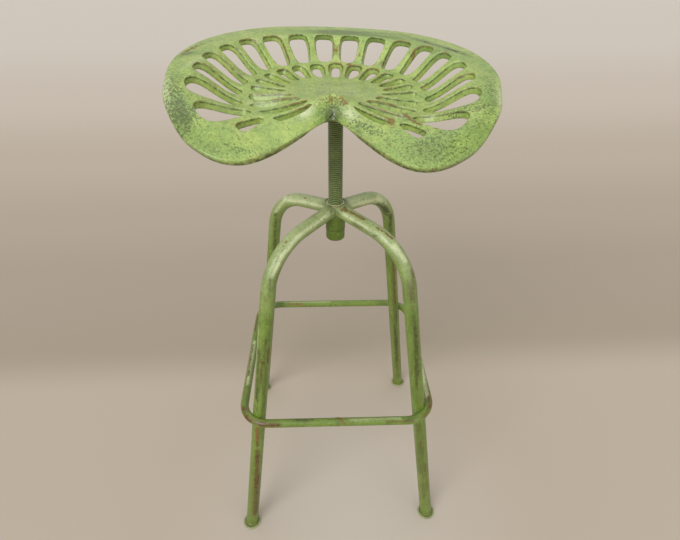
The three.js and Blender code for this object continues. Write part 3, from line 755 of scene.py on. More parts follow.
def along(shares: tuple[float, ...], angle: np.ndarray) -> np.ndarray:
    """Smooth curve through shares that stand one pitch apart, the same on both sides.

    Args:
        shares: One share for each pitch.
        angle: Angles round the seat.

    Returns:
        The curve at each angle.
    """
    values = np.array(shares)
    last = len(values) - 1
    position = np.abs(angle) / SLOT_PITCH
    i = np.minimum(np.floor(position), last - 1).astype(int)
    a, b, c, d = (values[last - np.abs(last - np.abs(i + k))] for k in (-1, 0, 1, 2))
    return eased(position - i, b, c, (c - a) / 2, (d - b) / 2)


@dataclass(frozen=True)
class SeatLine:
    """A line round the seat: a radius times shares, one for each pitch from the rear to the front."""

    radius: float
    shares: tuple[float, ...]

    def at(self, angle: np.ndarray) -> np.ndarray:
        """Radius of the line at angles from the rear."""
        return self.radius * along(self.shares, angle)


@dataclass
class PolarMesh:
    """A mesh gathered from polar places on the seat, each at a depth square under its top."""

    parts: list[np.ndarray] = field(default_factory=list)  # rows of radius, angle, depth, glaze, edge
    faces: list[list[int]] = field(default_factory=list)
    count: int = 0

    def add(
        self, radius: object, angle: object, depth: object, glaze: float = 0.0, edge: float = 0.0
    ) -> np.ndarray:
        """Adds points.

        Args:
            radius: Distances from the seat's centre.
            angle: Angles from the rear.
            depth: Depth under the top surface.
            glaze: How much dark glaze gathers there.
            edge: How much the place is an edge that hands and cloth rub, and that carries a painted
                highlight.

        Returns:
            The numbers of the new points, in the shape of the radii.
        """
        values = np.broadcast_arrays(radius, angle, depth, glaze, edge)
        numbers = np.arange(self.count, self.count + values[0].size).reshape(values[0].shape)
        self.parts.append(np.stack([value.ravel() for value in values], 1).astype(float))
        self.count += numbers.size
        return numbers

    def place(self, numbers: np.ndarray) -> np.ndarray:
        """Radii and angles of points that have been added."""
        return np.vstack(self.parts).T[:2, numbers]

    def band(self, loops: list[np.ndarray]) -> None:
        """Joins closed loops of equally many points, each to the next.

        Args:
            loops: The loops, one after the other.
        """
        for outer, inner in zip(loops, loops[1:]):
            quads = np.stack([inner, outer, np.roll(outer, -1), np.roll(inner, -1)], 1)
            self.faces += quads.tolist()


@dataclass(frozen=True)
class SlotCell:
    """The cell of the seat's grid that one slot is cut through."""

    first: int  # its first column
    columns: int  # facets across it
    rows: tuple[int, int]  # its first and last row
    turns: np.ndarray  # angles of its two sides
    reach: tuple[float, float]  # radii at which the slot starts and ends
    rib: float  # width of the rib that is left beside the slot at the top
    narrowing: float  # width of the slot at the bottom over that at the top

    def border(self) -> tuple[np.ndarray, np.ndarray]:
        """Columns, counted from the first, and rows of the points round the cell.

        Returns:
            The columns and the rows.
        """
        n, (low, high) = self.columns, self.rows
        places = [(c, low) for c in range(n)] + [(n, r) for r in range(low, high)]
        places += [(c, high) for c in range(n, 0, -1)] + [(0, r) for r in range(high, low, -1)]
        column, row = np.array(places).T
        return column, row

    def directions(self) -> tuple[np.ndarray, np.ndarray]:
        """The same points across the cell and outwards, each from -1 to 1.

        Returns:
            The places across the cell and the places outwards.
        """
        column, row = self.border()
        low, high = self.rows
        return column / (self.columns / 2) - 1, (row - low) / (high - low) * 2 - 1


@dataclass
class SeatCasting:
    """The openwork cast seat with two rings of slots, leaning a little on its spindle."""

    height: float = 763.0
    turn_deg: float = -4.3
    lean_deg: float = 1.62
    thickness: float = 8.5
    offset: float = -2.0
    plate_radius: float = 63.0
    rim_rise: float = 49.0
    inner_rib: float = 5.0
    outer_rib: float = 9.0
    slot_draft: float = 2.0
    inner_narrowing: float = 0.6
    outer_narrowing: float = 0.86
    slot_round: float = 1.2
    side_inset: float = 0.6  # at most this much of a loop's inset is taken from the slot's sides
    last_slot_shortening: float = 8.0
    slots_per_side: int = 10
    pommel_rise: float = 9.0
    pommel_reach: float = 66.0
    pommel_width: float = 26.0
    pommel_depth: float = 16.0
    edge_round: float = 3.0
    nose_round: float = 0.9  # the same rounding on the pommel's steep front
    nose_spread_deg: float = 22.0
    low_round: float = 0.7  # the rim's lower edge is rounded by this share of the upper
    slope_step: float = 0.5
    columns: int = 20  # facets across one slot
    sill_rows: int = 2
    inner_rows: int = 14
    ring_rows: int = 3
    outer_rows: int = 20
    rim_rows: int = 10
    squareness: float = 3.0
    cell_margin: float = 0.9  # a slot's cell is longer than the slot by this at each end
    hidden_glaze: float = 0.35  # all over the underside
    rim_glaze: float = 0.75
    edge_wear: float = 1.1  # rubbed edges: brown in places; pale all along as a painted highlight
    edge_painted_highlight: float = 0.2
    wear_size: float = 30.0
    # The rounded edge just stays inside the facets of the solid seat
    rim: SeatLine = SeatLine(
        215.88, (1, 1, 1, 0.999, 0.996, 0.988, 0.998, 1.004, 1.039, 1.03, 0.914, 0.597, 0.421)
    )
    slot_end: SeatLine = SeatLine(
        176.0, (0.945, 0.961, 0.98, 0.998, 0.998, 1.013, 1.04, 1.057, 1.146, 1.09, 0.91, 0.667, 0.463)
    )
    outer_start: SeatLine = SeatLine(
        124.0, (1.005, 1.005, 1, 1, 0.99, 0.98, 0.98, 1, 1.03, 1.055, 1.055, 0.885, 0.625)
    )
    inner_end: SeatLine = SeatLine(
        118.0, (1.03, 1.025, 1.01, 0.99, 0.975, 0.96, 0.955, 0.975, 1.02, 1.055, 1.055, 0.88, 0.63)
    )
    inner_start: SeatLine = SeatLine(
        70.0, (0.98, 0.98, 0.98, 0.97, 0.96, 0.95, 0.94, 0.95, 0.99, 1.06, 1.18, 0.99, 0.92)
    )
    # How far, in pitches, a column is shifted, and how far it leans to the front at the plate
    shift_shares: tuple = (0, 0, 0, 0, 0, 0, 0, 0, 0.04, 0.135, -0.26, -0.12, 0)
    lean_shares: tuple = (0, 0.1, 0.25, 0.4, 0.6, 0.8, 0.95, 1.2, 1.4, 1.3, 0.9, 0.45, 0)
    # Heights of three of the lines over the plate, as shares of the rim's rise at the rear
    rim_heights: tuple = (
        1.01, 1.01, 1.01, 0.96, 0.88, 0.775, 0.595, 0.37, 0.055, -0.585, -0.83, -0.47, -0.33
    )
    slot_end_heights: tuple = (
        0.9, 0.915, 0.89, 0.866, 0.823, 0.74, 0.637, 0.49, 0.203, -0.2, -0.5, -0.345, -0.08
    )
    outer_start_heights: tuple = (
        0.24, 0.21, 0.19, 0.15, 0.115, 0.06, -0.035, -0.15, -0.21, -0.2, -0.3, -0.26, -0.19
    )
    plate_row_shares: tuple = (0.12, 0.25, 0.38, 0.5, 0.62, 0.72, 0.81, 0.9, 1.0)

    def column_turn(self, column: np.ndarray) -> np.ndarray:
        """Angle of a column of the mesh from the rear, shifted a little near the front."""
        nominal = column * SLOT_PITCH / self.columns - math.pi
        return nominal + np.sign(nominal) * SLOT_PITCH * along(self.shift_shares, nominal)

    def leaned_turn(self, angle: np.ndarray, radius: np.ndarray) -> np.ndarray:
        """Angle of a column at a radius; near the plate the columns lean to the front.

        Args:
            angle: Angle of the column.
            radius: Distance from the centre.

        Returns:
            The angle at that radius.
        """
        start, end = self.inner_start.at(angle), self.inner_end.at(angle)
        inward = np.clip((end - radius) / (end - start), 0, 1)
        return angle + np.sign(angle) * SLOT_PITCH * along(self.lean_shares, angle) * inward

    def round_at(self, angle: np.ndarray) -> np.ndarray:
        """Rounding of the rim's edge, tighter towards the pommel's front."""
        nose = near(math.pi - np.abs(angle), math.radians(self.nose_spread_deg))
        return self.edge_round - (self.edge_round - self.nose_round) * nose

    def top_height(self, radius: np.ndarray, angle: np.ndarray) -> np.ndarray:
        """Height of the casting's top above the centre plate.

        Args:
            radius: Distance from the seat's centre.
            angle: Angle from the rear, positive towards +X.

        Returns:
            Height of each place.
        """
        lines = (self.outer_start, self.slot_end, self.rim)
        x = np.stack([np.full_like(radius, self.plate_radius), *(line.at(angle) for line in lines)])
        heights = (self.outer_start_heights, self.slot_end_heights, self.rim_heights)
        y = [np.zeros_like(radius), *(along(shares, angle) for shares in heights)]
        y = self.rim_rise * np.stack(y)
        secants = np.diff(y, axis=0) / np.diff(x, axis=0)
        product, total = secants[:-1] * secants[1:], secants[:-1] + secants[1:]
        middle = np.where(product > 0, 2 * product / np.where(total == 0, 1, total), 0)
        slopes = np.vstack([np.zeros((1, len(radius))), middle, secants[-1:]])
        i = (radius > x[1]).astype(int) + (radius > x[2])
        here, next_one = (i, np.arange(len(radius))), (i + 1, np.arange(len(radius)))
        span = x[next_one] - x[here]
        t = (radius - x[here]) / span
        bowl = eased(t, y[here], y[next_one], span * slopes[here], span * slopes[next_one])
        bowl = np.where(radius > self.plate_radius, bowl, 0)
        across = radius * np.sin(angle) / self.pommel_width
        forward = (radius * np.cos(angle) + self.pommel_reach) / self.pommel_depth
        return bowl + self.pommel_rise * np.exp(-(across**2) - forward**2)

    def row_radii(self, angle: np.ndarray) -> np.ndarray:
        """Radii of all rows of the grid for an array of angles.

        Args:
            angle: Angles of the columns.

        Returns:
            The radii.
        """
        margin = self.cell_margin
        stretches = (
            (self.inner_start.at(angle) - margin, self.sill_rows),
            (self.inner_end.at(angle) + margin, self.inner_rows),
            (self.outer_start.at(angle) - margin, self.ring_rows),
            (self.slot_end.at(angle) + margin, self.outer_rows),
            (self.rim.at(angle) - self.round_at(angle), self.rim_rows),
        )
        rows = [np.full_like(angle, self.plate_radius * share) for share in self.plate_row_shares]
        for end, steps in stretches:
            start = rows[-1]
            rows += [start + (end - start) * k / steps for k in range(1, steps + 1)]
        return np.stack(rows)

    def slot_profile(self) -> list[tuple[float, float, float, float]]:
        """Inset, depth, glaze and edge of a slot's loops, from the top downwards; the edge is rubbed and
        carries a painted highlight.

        Returns:
            The four values of each loop.
        """
        r, d, full = self.slot_round, self.slot_draft, self.thickness
        return [
            (-0.45 * r, 0.0, 0.0, 0.55),
            (-0.1 * r, 0.12 * r, 0.05, 1.0),
            (0.2 * r, 0.45 * r, 0.15, 1.0),
            (0.42 * r, r, 0.45, 0.5),
            (0.5 * r, 1.6 * r, 0.95, 0.0),
            (0.55 * r, 2.1 * r, 0.65, 0.0),
            (0.6 * d, 0.42 * full, 0.1, 0.1),
            (0.8 * d, 0.66 * full, 0.05, 0.1),
            (d, full - 1.4 * r, 0.1, 0.3),
            (d, full - 0.6 * r, 0.3, 0.5),
            (0.8 * d, full, 0.5, 0.3),
        ]

    def slot_loop(
        self, mesh: PolarMesh, cell: SlotCell, inset: float, depth: float, glaze: float, edge: float
    ) -> np.ndarray:
        """Adds one loop of a slot.

        Args:
            mesh: The casting so far.
            cell: The slot's cell.
            inset: How far inside the top outline the loop runs at the slot's ends.
            depth: Depth under the top surface.
            glaze: Dark glaze on the loop.
            edge: How much the loop is a rubbed edge with a painted highlight.

        Returns:
            The loop's point numbers.
        """
        across, outwards = cell.directions()
        squareness = np.abs(across) ** self.squareness + np.abs(outwards) ** self.squareness
        reach = squareness ** (-1 / self.squareness)
        start, end = cell.reach
        radius = (start + end) / 2 + outwards * reach * ((end - start) / 2 - inset)
        low, high = (self.leaned_turn(np.full_like(radius, turn), radius) for turn in cell.turns)
        sunk = max(depth - self.slot_round, 0) / (self.thickness - self.slot_round)
        narrowing = 1 - (1 - cell.narrowing) * sunk
        half_width = (radius * (high - low) - cell.rib) / 2 - min(inset, self.side_inset)
        turn = (low + high) / 2 + across * reach * half_width * narrowing / radius
        return mesh.add(radius, turn, depth, glaze, edge)

    def slot(self, mesh: PolarMesh, top: np.ndarray, bottom: np.ndarray, cell: SlotCell) -> None:
        """Cuts one slot through its cell of the grid.

        Args:
            mesh: The casting so far.
            top: Point numbers of the top face, rows by columns.
            bottom: Point numbers of the bottom face.
            cell: The slot's cell.
        """
        column, row = cell.border()
        column = (cell.first + column) % top.shape[1]
        loops = [self.slot_loop(mesh, cell, *shape) for shape in self.slot_profile()]
        halfway = (mesh.place(top[row, column]) + mesh.place(loops[0])) / 2
        between = mesh.add(*halfway, 0.0)
        mesh.band([top[row, column], between, *loops, bottom[row, column]])

    def cell(self, first: int, rows: tuple[int, int], outer: bool, foremost: bool) -> SlotCell:
        """Lays out the cell of one slot.

        Args:
            first: First column of the cell.
            rows: First and last row of the cell.
            outer: Whether the slot is one of the outer ring.
            foremost: Whether it is the shorter outer slot next to the notch.

        Returns:
            The cell.
        """
        turns = self.column_turn(np.array([first, first + self.columns], float))
        middle = turns.mean()
        reach = (self.inner_start.at(middle), self.inner_end.at(middle))
        rib, narrowing = self.inner_rib, self.inner_narrowing
        if outer:
            end = self.slot_end.at(middle) - self.slot_round - self.last_slot_shortening * foremost
            reach = (self.outer_start.at(middle), end)
            rib, narrowing = self.outer_rib, self.outer_narrowing
        return SlotCell(first, self.columns, rows, turns, reach, rib, narrowing)

    @staticmethod
    def plain(
        mesh: PolarMesh, top: np.ndarray, bottom: np.ndarray, first: int, rows: tuple[int, int], width: int
    ) -> None:
        """Closes a stretch of the grid, from a first column, with plain faces, top and bottom.

        Args:
            mesh: The mesh that is being built.
            top: Vertices of the grid's top.
            bottom: Vertices of the grid's bottom.
            first: The first column.
            rows: The rows of the stretch.
            width: How many columns it has.
        """
        columns = np.arange(first, first + width) % top.shape[1]
        after = (columns + 1) % top.shape[1]
        for row in range(*rows):
            corners = ((row, columns), (row, after), (row + 1, after), (row + 1, columns))
            mesh.faces += np.stack([top[corner] for corner in corners], 1).tolist()
            mesh.faces += turned_over(np.stack([bottom[corner] for corner in corners], 1).tolist())

    def close_rim(self, mesh: PolarMesh, top: np.ndarray, bottom: np.ndarray, angle: np.ndarray) -> None:
        """Closes the rim with a rounded edge between the top and bottom rows.

        Args:
            mesh: The mesh that is being built.
            top: Vertices of the grid's top.
            bottom: Vertices of the grid's bottom.
            angle: Angles of the columns.
        """
        rim, r, full = self.rim.at(angle), self.round_at(angle), self.thickness
        loops = [top]
        for turn in np.radians([18, 36, 54, 72, 90]):
            out = math.sin(turn)
            depth = r * (1 - math.cos(turn))
            loops.append(mesh.add(rim - r * (1 - out), angle, depth, 0.15 * out, 0.5 * out))
        loops.append(mesh.add(rim, angle, full / 2, self.rim_glaze, 0.3))
        r = self.low_round * r
        for turn in np.radians([0, 30, 60]):
            depth = full - r * (1 - math.sin(turn))
            inset = r * (1 - math.cos(turn))
            loops.append(mesh.add(rim - inset, angle, depth, self.rim_glaze, 0.4))
        mesh.band([*loops, bottom])

    def own_points(self, radius: np.ndarray, angle: np.ndarray, depth: np.ndarray) -> np.ndarray:
        """Works out points in the seat's own frame.

        Args:
            radius: Distances from the seat's centre.
            angle: Angles from the rear.
            depth: Depths square under the top surface.

        Returns:
            Rows of x, y, z.
        """
        h = self.slope_step
        step = h / np.maximum(radius, h)
        out_slope = (self.top_height(radius + h, angle) - self.top_height(radius - h, angle)) / (2 * h)
        side_slope = (self.top_height(radius, angle + step) - self.top_height(radius, angle - step)) / (2 * h)
        sink = depth / np.sqrt(out_slope**2 + side_slope**2 + 1)
        out, side = radius + out_slope * sink, side_slope * sink
        x = out * np.sin(angle) + side * np.cos(angle) + self.offset
        y = out * np.cos(angle) - side * np.sin(angle)
        return np.stack([x, y, self.top_height(radius, angle) - sink], 1)

    def to_stool(self, points: np.ndarray) -> np.ndarray:
        """Takes points from the seat's own frame to the stool's.

        Args:
            points: Points in the seat's own frame.

        Returns:
            Points in the stool's frame.
        """
        lean = Matrix.Rotation(math.radians(self.lean_deg), 3, "Y")
        turn = np.array(Matrix.Rotation(math.radians(self.turn_deg), 3, "Z") @ lean)
        return points @ turn.T + [0, -SPINDLE_SETBACK, self.height]

    def layers(self, own: np.ndarray, glaze: np.ndarray, edge: np.ndarray) -> dict[Layer, np.ndarray]:
        """Values of the paint layers at each point.

        Args:
            own: The points in the seat's own frame.
            glaze: How much dark glaze has gathered at each.
            edge: How much each lies on a rubbed edge with a painted highlight.

        Returns:
            One array for each layer.
        """
        found = {layer: np.zeros(len(own)) for layer in Layer}
        found[Layer.GLAZE] += glaze
        found[Layer.WEAR] += edge * self.edge_wear * blotches(own, self.wear_size, 4)
        # Edges are pale all along as a painted highlight
        found[Layer.DRY_BRUSH_AND_PAINTED_HIGHLIGHT] += edge * self.edge_painted_highlight
        for layer, marks in SEAT_MARKS.items():
            for mark in marks:
                found[layer] += mark.strength(own[:, 0], own[:, 1])
        return {layer: np.clip(values, 0, 1) for layer, values in found.items()}

    def gather(self) -> PolarMesh:
        """Gathers the casting as one closed mesh.

        Returns:
            The mesh, in polar places.
        """
        mesh = PolarMesh()
        total = self.columns * SLOT_PITCHES
        angle = self.column_turn(np.arange(total, dtype=float))
        rows = self.row_radii(angle)
        leaned = np.stack([self.leaned_turn(angle, row) for row in rows])
        top = mesh.add(rows, leaned, 0.0)
        bottom = mesh.add(rows, leaned, self.thickness, self.hidden_glaze)
        centre_top = mesh.add([0.0], 0.0, 0.0)
        centre_bottom = mesh.add([0.0], 0.0, self.thickness, self.hidden_glaze)
        after = np.roll(np.arange(total), -1)
        for ends in ((top[0], top[0, after], centre_top), (bottom[0, after], bottom[0], centre_bottom)):
            mesh.faces += np.stack(np.broadcast_arrays(*ends), 1).tolist()
        start = len(self.plate_row_shares) - 1 + self.sill_rows
        inner = (start, start + self.inner_rows)
        outer = (inner[1] + self.ring_rows, inner[1] + self.ring_rows + self.outer_rows)
        for stretch in ((0, inner[0]), (inner[1], outer[0]), (outer[1], len(rows) - 1)):
            self.plain(mesh, top, bottom, 0, stretch, total)
        half, most, n = SLOT_PITCHES // 2, self.slots_per_side, self.columns
        for step in range(-half, half):
            first = (half + step) * n
            if abs(step) <= most:
                self.slot(mesh, top, bottom, self.cell(first - n // 2, inner, False, False))
            else:
                self.plain(mesh, top, bottom, first - n // 2, inner, n)
            if -most <= step < most:
                foremost = step in (-most, most - 1)
                self.slot(mesh, top, bottom, self.cell(first, outer, True, foremost))
            else:
                self.plain(mesh, top, bottom, first, outer, n)
        self.close_rim(mesh, top[-1], bottom[-1], angle)
        return mesh

    def build(self, material: Material) -> None:
        """Builds the casting.

        Args:
            material: The piece's finish.
        """
        mesh = self.gather()
        radius, angle, depth, glaze, edge = np.ascontiguousarray(np.vstack(mesh.parts).T)
        own = self.own_points(radius, angle, depth)
        role = Role("seat_casting", "seat_pan", Body.SEAT, Slot.IRON)
        add_piece(role, self.to_stool(own), mesh.faces, material, self.layers(own, glaze, edge), 60.0)


# Spindle and hub


@dataclass
class ScrewSpindle:
    """The spindle with its long rolled thread, the stop nut under the hub and the washer on it."""

    radius: float = 11.0
    pitch: float = 3.0
    thread_depth: float = 1.5
    thread_shape: tuple = (0, 0.12, 0.45, 0.8, 1, 1, 1, 0.8, 0.45, 0.12)  # groove to crest and back
    thread_sides: int = 48
    bottom: float = 532.2
    top: float = 748.6
    nut_radius: float = 15.0
    nut_bottom: float = 531.2
    nut_top: float = 549.2
    nut_round: float = 4.0
    nut_edge: float = 0.8
    washer_radius: float = 14.2
    washer_bottom: float = 593.3
    washer_top: float = 595.3
    washer_round: float = 0.6
    clearance: float = 0.35
    sides: int = 64
    groove_glaze: float = 0.9
    crest_dry_brush: float = 0.24
    washer_wear: float = 0.45
    washer_dry_brush: float = 0.7

    def thread(self, material: Material) -> None:
        """Builds the threaded rod as a true right-hand helix.

        Args:
            material: The piece's finish.
        """
        shape, sides, steps = np.array(self.thread_shape), self.thread_sides, len(self.thread_shape)
        turns = np.arange(sides) * FULL_TURN / sides
        rows = int((self.top - self.bottom) / self.pitch + 3) * steps
        points, faces = [], []
        for k in range(rows):
            rise = self.bottom - self.pitch + self.pitch * (k / steps + turns / FULL_TURN)
            radius = self.radius - self.thread_depth * (1 - shape[k % steps])
            height = np.clip(rise, self.bottom, self.top)
            y = radius * np.sin(turns) - SPINDLE_SETBACK
            points.append(np.stack([radius * np.cos(turns), y, height], 1))
        for k in range(rows - steps - 1):
            here, up, across = (row * sides for row in (k, k + 1, k + steps))
            faces += [[here + j, here + j + 1, up + j + 1, up + j] for j in range(sides - 1)]
            faces.append([up - 1, across, across + sides, up + sides - 1])
        layers = {
            Layer.GLAZE: self.groove_glaze * np.tile(np.repeat(1 - shape, sides), rows // steps),
            Layer.DRY_BRUSH_AND_PAINTED_HIGHLIGHT: self.crest_dry_brush * np.tile(np.repeat(shape, sides), rows // steps),
        }
        role = Role("spindle_thread", "spindle", Body.SEAT, Slot.STEEL)
        add_piece(role, np.vstack(points), faces, material, layers, 70.0)

    def stop_nut(self, material: Material) -> None:
        """Builds the round stop nut that is pinned on the spindle's lower end.

        Args:
            material: The piece's finish.
        """
        r, low, high = self.nut_radius, self.nut_bottom, self.nut_top
        bend, edge = self.nut_round, self.nut_edge
        profile = [(0.01, low), (r - bend - 1, low)]
        profile += round_corner((r - bend, low + bend), bend, -90, 0, 8) + [(r, high - 1)]
        profile += round_corner((r - edge, high - edge), edge, 0, 90, 3) + [(self.radius - 1, high)]
        role = Role("stop_nut_painted", "stop_nut", Body.SEAT, Slot.STEEL)
        add_piece(role, *revolve(profile, self.sides, SPINDLE_AXIS), material)

    def washer(self, material: Material) -> None:
        """Builds the loose washer between the seat's screw and the hub.

        Args:
            material: The piece's finish.
        """
        low, high, bore = self.washer_bottom, self.washer_top, self.radius + self.clearance
        r, soft = self.washer_radius, self.washer_round
        lower, upper = soft_edges(r, low, high, soft, 3)
        profile = [(bore, low + soft), (bore + 0.2, low), (r - soft, low), *lower, *upper]
        profile += [(bore + 0.4, high), (bore, high - 0.4), (bore, low + soft)]
        points, faces = revolve(profile, self.sides, SPINDLE_AXIS)
        amounts = {Layer.WEAR: self.washer_wear, Layer.DRY_BRUSH_AND_PAINTED_HIGHLIGHT: self.washer_dry_brush}
        layers = {layer: np.full(len(points), amount) for layer, amount in amounts.items()}
        role = Role("hub_washer_painted", "hub_washer", Body.SCREW_WASHER, Slot.STEEL)
        add_piece(role, points, faces, material, layers)


# Legs, feet and footrest


# Each row is start, end, width and amount
LEG_STROKES = filled(PaintStroke, {
    # Rubbed to brown: arms and shins of the front legs, then the rear legs
    Layer.WEAR: (
        ((-28, -40, 590), (-77, -95, 571), 2.8, 0.7),
        ((-109, -138, 411), (-112, -141, 391), 2.9, 0.5),
        ((-139, -162, 251), (-142, -166, 221), 3.6, 1),
        ((-145, -174, 175), (-152, -184, 101), 4.0, 0.6),
        ((-152, -184, 101), (-159, -193, 30), 4.0, 0.5), ((12, -33, 591), (40, -58, 587), 3.4, 1),
        ((58, -77, 581), (79, -93, 572), 3, 1), ((-76, 55, 575), (-36, 13, 587), 2.6, 0.6),
        ((119, 91, 420), (134, 110, 274), 3.0, 0.5),
    ),
    # Dark olive smears, from the welds downwards
    Layer.GLAZE: (
        ((-8, -34, 589), (-8, -36, 587), 1.3, 1), ((-125, -140, 405), (-136, -153, 310), 3.2, 0.92),
        ((-112, -139, 431), (-119, -146, 379), 1.8, 0.8),
        ((-99, -124, 529), (-103, -130, 501), 1.6, 0.7),
        ((-115, -144, 389), (-128, -157, 284), 2.9, 0.46), ((8, -33, 590), (9, -35, 589), 1.3, 1),
        ((23, -52, 579), (58, -87, 571), 3.6, 0.57),
        ((118, -138, 435), (127, -150, 347), 3.2, 0.92),
        ((144, -170, 193), (161, -188, 48), 3.6, 0.46),
        ((114, -136, 457), (126, -153, 326), 1.8, 1), ((137, 109, 286), (144, 116, 229), 1.8, 1),
        ((147, 122, 182), (157, 133, 94), 3.5, 1), ((-100, 73, 532), (-110, 87, 450), 3.8, 1),
        ((-128, 117, 252), (-143, 128, 154), 3.2, 0.57), ((77, 51, 557), (96, 74, 526), 3.5, 1),
        ((86, 58, 554), (105, 77, 520), 3.8, 1), ((105, 77, 520), (108, 82, 483), 3.8, 1),
        ((141, 116, 223), (156, 131, 109), 3.4, 1), ((155, 132, 101), (166, 140, 37), 3.4, 0.57),
    ),
    # Brown smears, most of them low on the front leg on the -X side
    Layer.UMBER: (
        ((-139, -163, 248), (-143, -168, 210), 3.0, 0.8),
        ((-144, -171, 196), (-150, -180, 127), 4.4, 1),
        ((-150, -180, 127), (-159, -192, 35), 6.0, 1),
        ((-110, -139, 408), (-113, -142, 383), 2.4, 0.8),
        ((-121, -145, 387), (-127, -151, 344), 2.2, 0.7),
        ((106, -120, 531), (108, -132, 489), 4.0, 0.5),
        ((155, -176, 144), (164, -185, 75), 3.0, 0.45), ((120, 93, 414), (135, 108, 292), 2.2, 0.9),
    ),
    # Long dark stretches of thick enamel
    Layer.THICK: (
        ((-107, -139, 443), (-121, -156, 301), 5, 0.6),
        ((-80, -107, 557), (-98, -127, 512), 4.5, 0.6),
        ((105, -128, 510), (131, -156, 290), 6, 0.7), ((100, -114, 545), (104, -130, 499), 6, 0.7),
        ((133, -162, 241), (148, -177, 123), 5, 0.7),
        ((139, -163, 242), (149, -172, 175), 5.0, 0.6), ((108, 84, 480), (150, 124, 150), 5, 0.7),
    ),
    # Painted highlights, laid as pale dry brush, along the arms and the bends, and down the outer faces
    Layer.DRY_BRUSH_AND_PAINTED_HIGHLIGHT: (
        ((-10, -37, 586), (-31, -59, 582), 2.4, 1), ((-31, -59, 582), (-58, -85, 575), 2.6, 1),
        ((-58, -85, 575), (-81, -108, 557), 2.8, 0.9),
        ((-81, -108, 557), (-96, -122, 533), 2.8, 0.8),
        ((-125, -131, 443), (-145, -145, 301), 3.4, 0.75),
        ((-128, -129, 431), (-132, -134, 397), 2.5, 0.6),
        ((10, -38, 586), (42, -70, 578), 2.2, 0.8), ((42, -70, 578), (68, -94, 569), 2.2, 0.6),
        ((81, -102, 565), (95, -114, 548), 3.4, 1), ((133, -132, 420), (144, -146, 300), 3, 0.7),
        ((-16, -13, 585), (-51, 22, 578), 2.2, 0.9), ((-51, 22, 578), (-82, 54, 567), 2.6, 0.6),
        ((-24, 4, 584), (-82, 60, 570), 7, 0.3), ((24, 2, 586), (90, 66, 560), 7, 0.42),
        ((-82, 54, 567), (-102, 73, 535), 3, 0.6), ((27, -2, 581), (76, 47, 569), 2.8, 0.6),
        ((76, 47, 569), (93, 64, 551), 3.2, 0.6), ((131, 102, 403), (163, 136, 147), 2.4, 0.6),
    ),
})

# Each row is start, end, width and amount
FOOTREST_STROKES = filled(PaintStroke, {
    # Rubbed to brown: the front corners, the weld in front and the side bars
    Layer.WEAR: (
        ((-163, -137, 275), (-152, -158, 275), 3.4, 0.5),
        ((-152, -160, 275), (-129, -171, 275), 3.4, 0.5),
        ((165, -102, 273), (157, -149, 275), 2.8, 0.9),
        ((157, -149, 275), (140, -173, 273), 2.8, 0.8), ((-1, -171, 277), (6, -179, 274), 2.9, 1),
        ((-158, 125, 275), (-159, 96, 276), 2.9, 0.8),
        ((-93, 143, 274), (-65, 141, 274), 3.5, 0.92),
        ((-162, -13, 276), (-165, -114, 276), 3.2, 0.57),
        ((162, -55, 276), (158, -128, 277), 3.2, 0.4),
    ),
    # Dark olive smears on the front bar
    Layer.GLAZE: (
        ((-75, -170, 277), (-47, -172, 277), 3.2, 0.8),
        ((105, -181, 275), (140, -172, 274), 3.5, 0.57),
    ),
    # Brown smears: the front corners and the bar on the -X side
    Layer.UMBER: (
        ((-162, -140, 275), (-154, -161, 273), 3.8, 1),
        ((-154, -161, 272), (-129, -173, 273), 3.8, 1),
        ((-129, -174, 273), (-101, -176, 273), 3.4, 1),
        ((-158, 103, 276), (-160, 56, 276), 2.4, 0.8),
        ((-160, 14, 277), (-161, -66, 277), 2.2, 0.8),
        ((156, -133, 277), (153, -155, 276), 2.0, 0.9),
        ((153, -155, 276), (141, -171, 274), 2.0, 0.8),
        ((77, -180, 274), (120, -181, 274), 1.6, 0.7),
    ),
    # Pale dry brush on the top of each bar
    Layer.DRY_BRUSH_AND_PAINTED_HIGHLIGHT: (
        ((-158, 22, 277), (-161, -87, 277), 3.2, 0.9), ((160, -46, 277), (153, -132, 276), 4.4, 1),
        ((16, -175, 277), (99, -176, 277), 2.5, 0.4), ((-102, 146, 276), (-3, 143, 276), 2, 0.4),
    ),
})


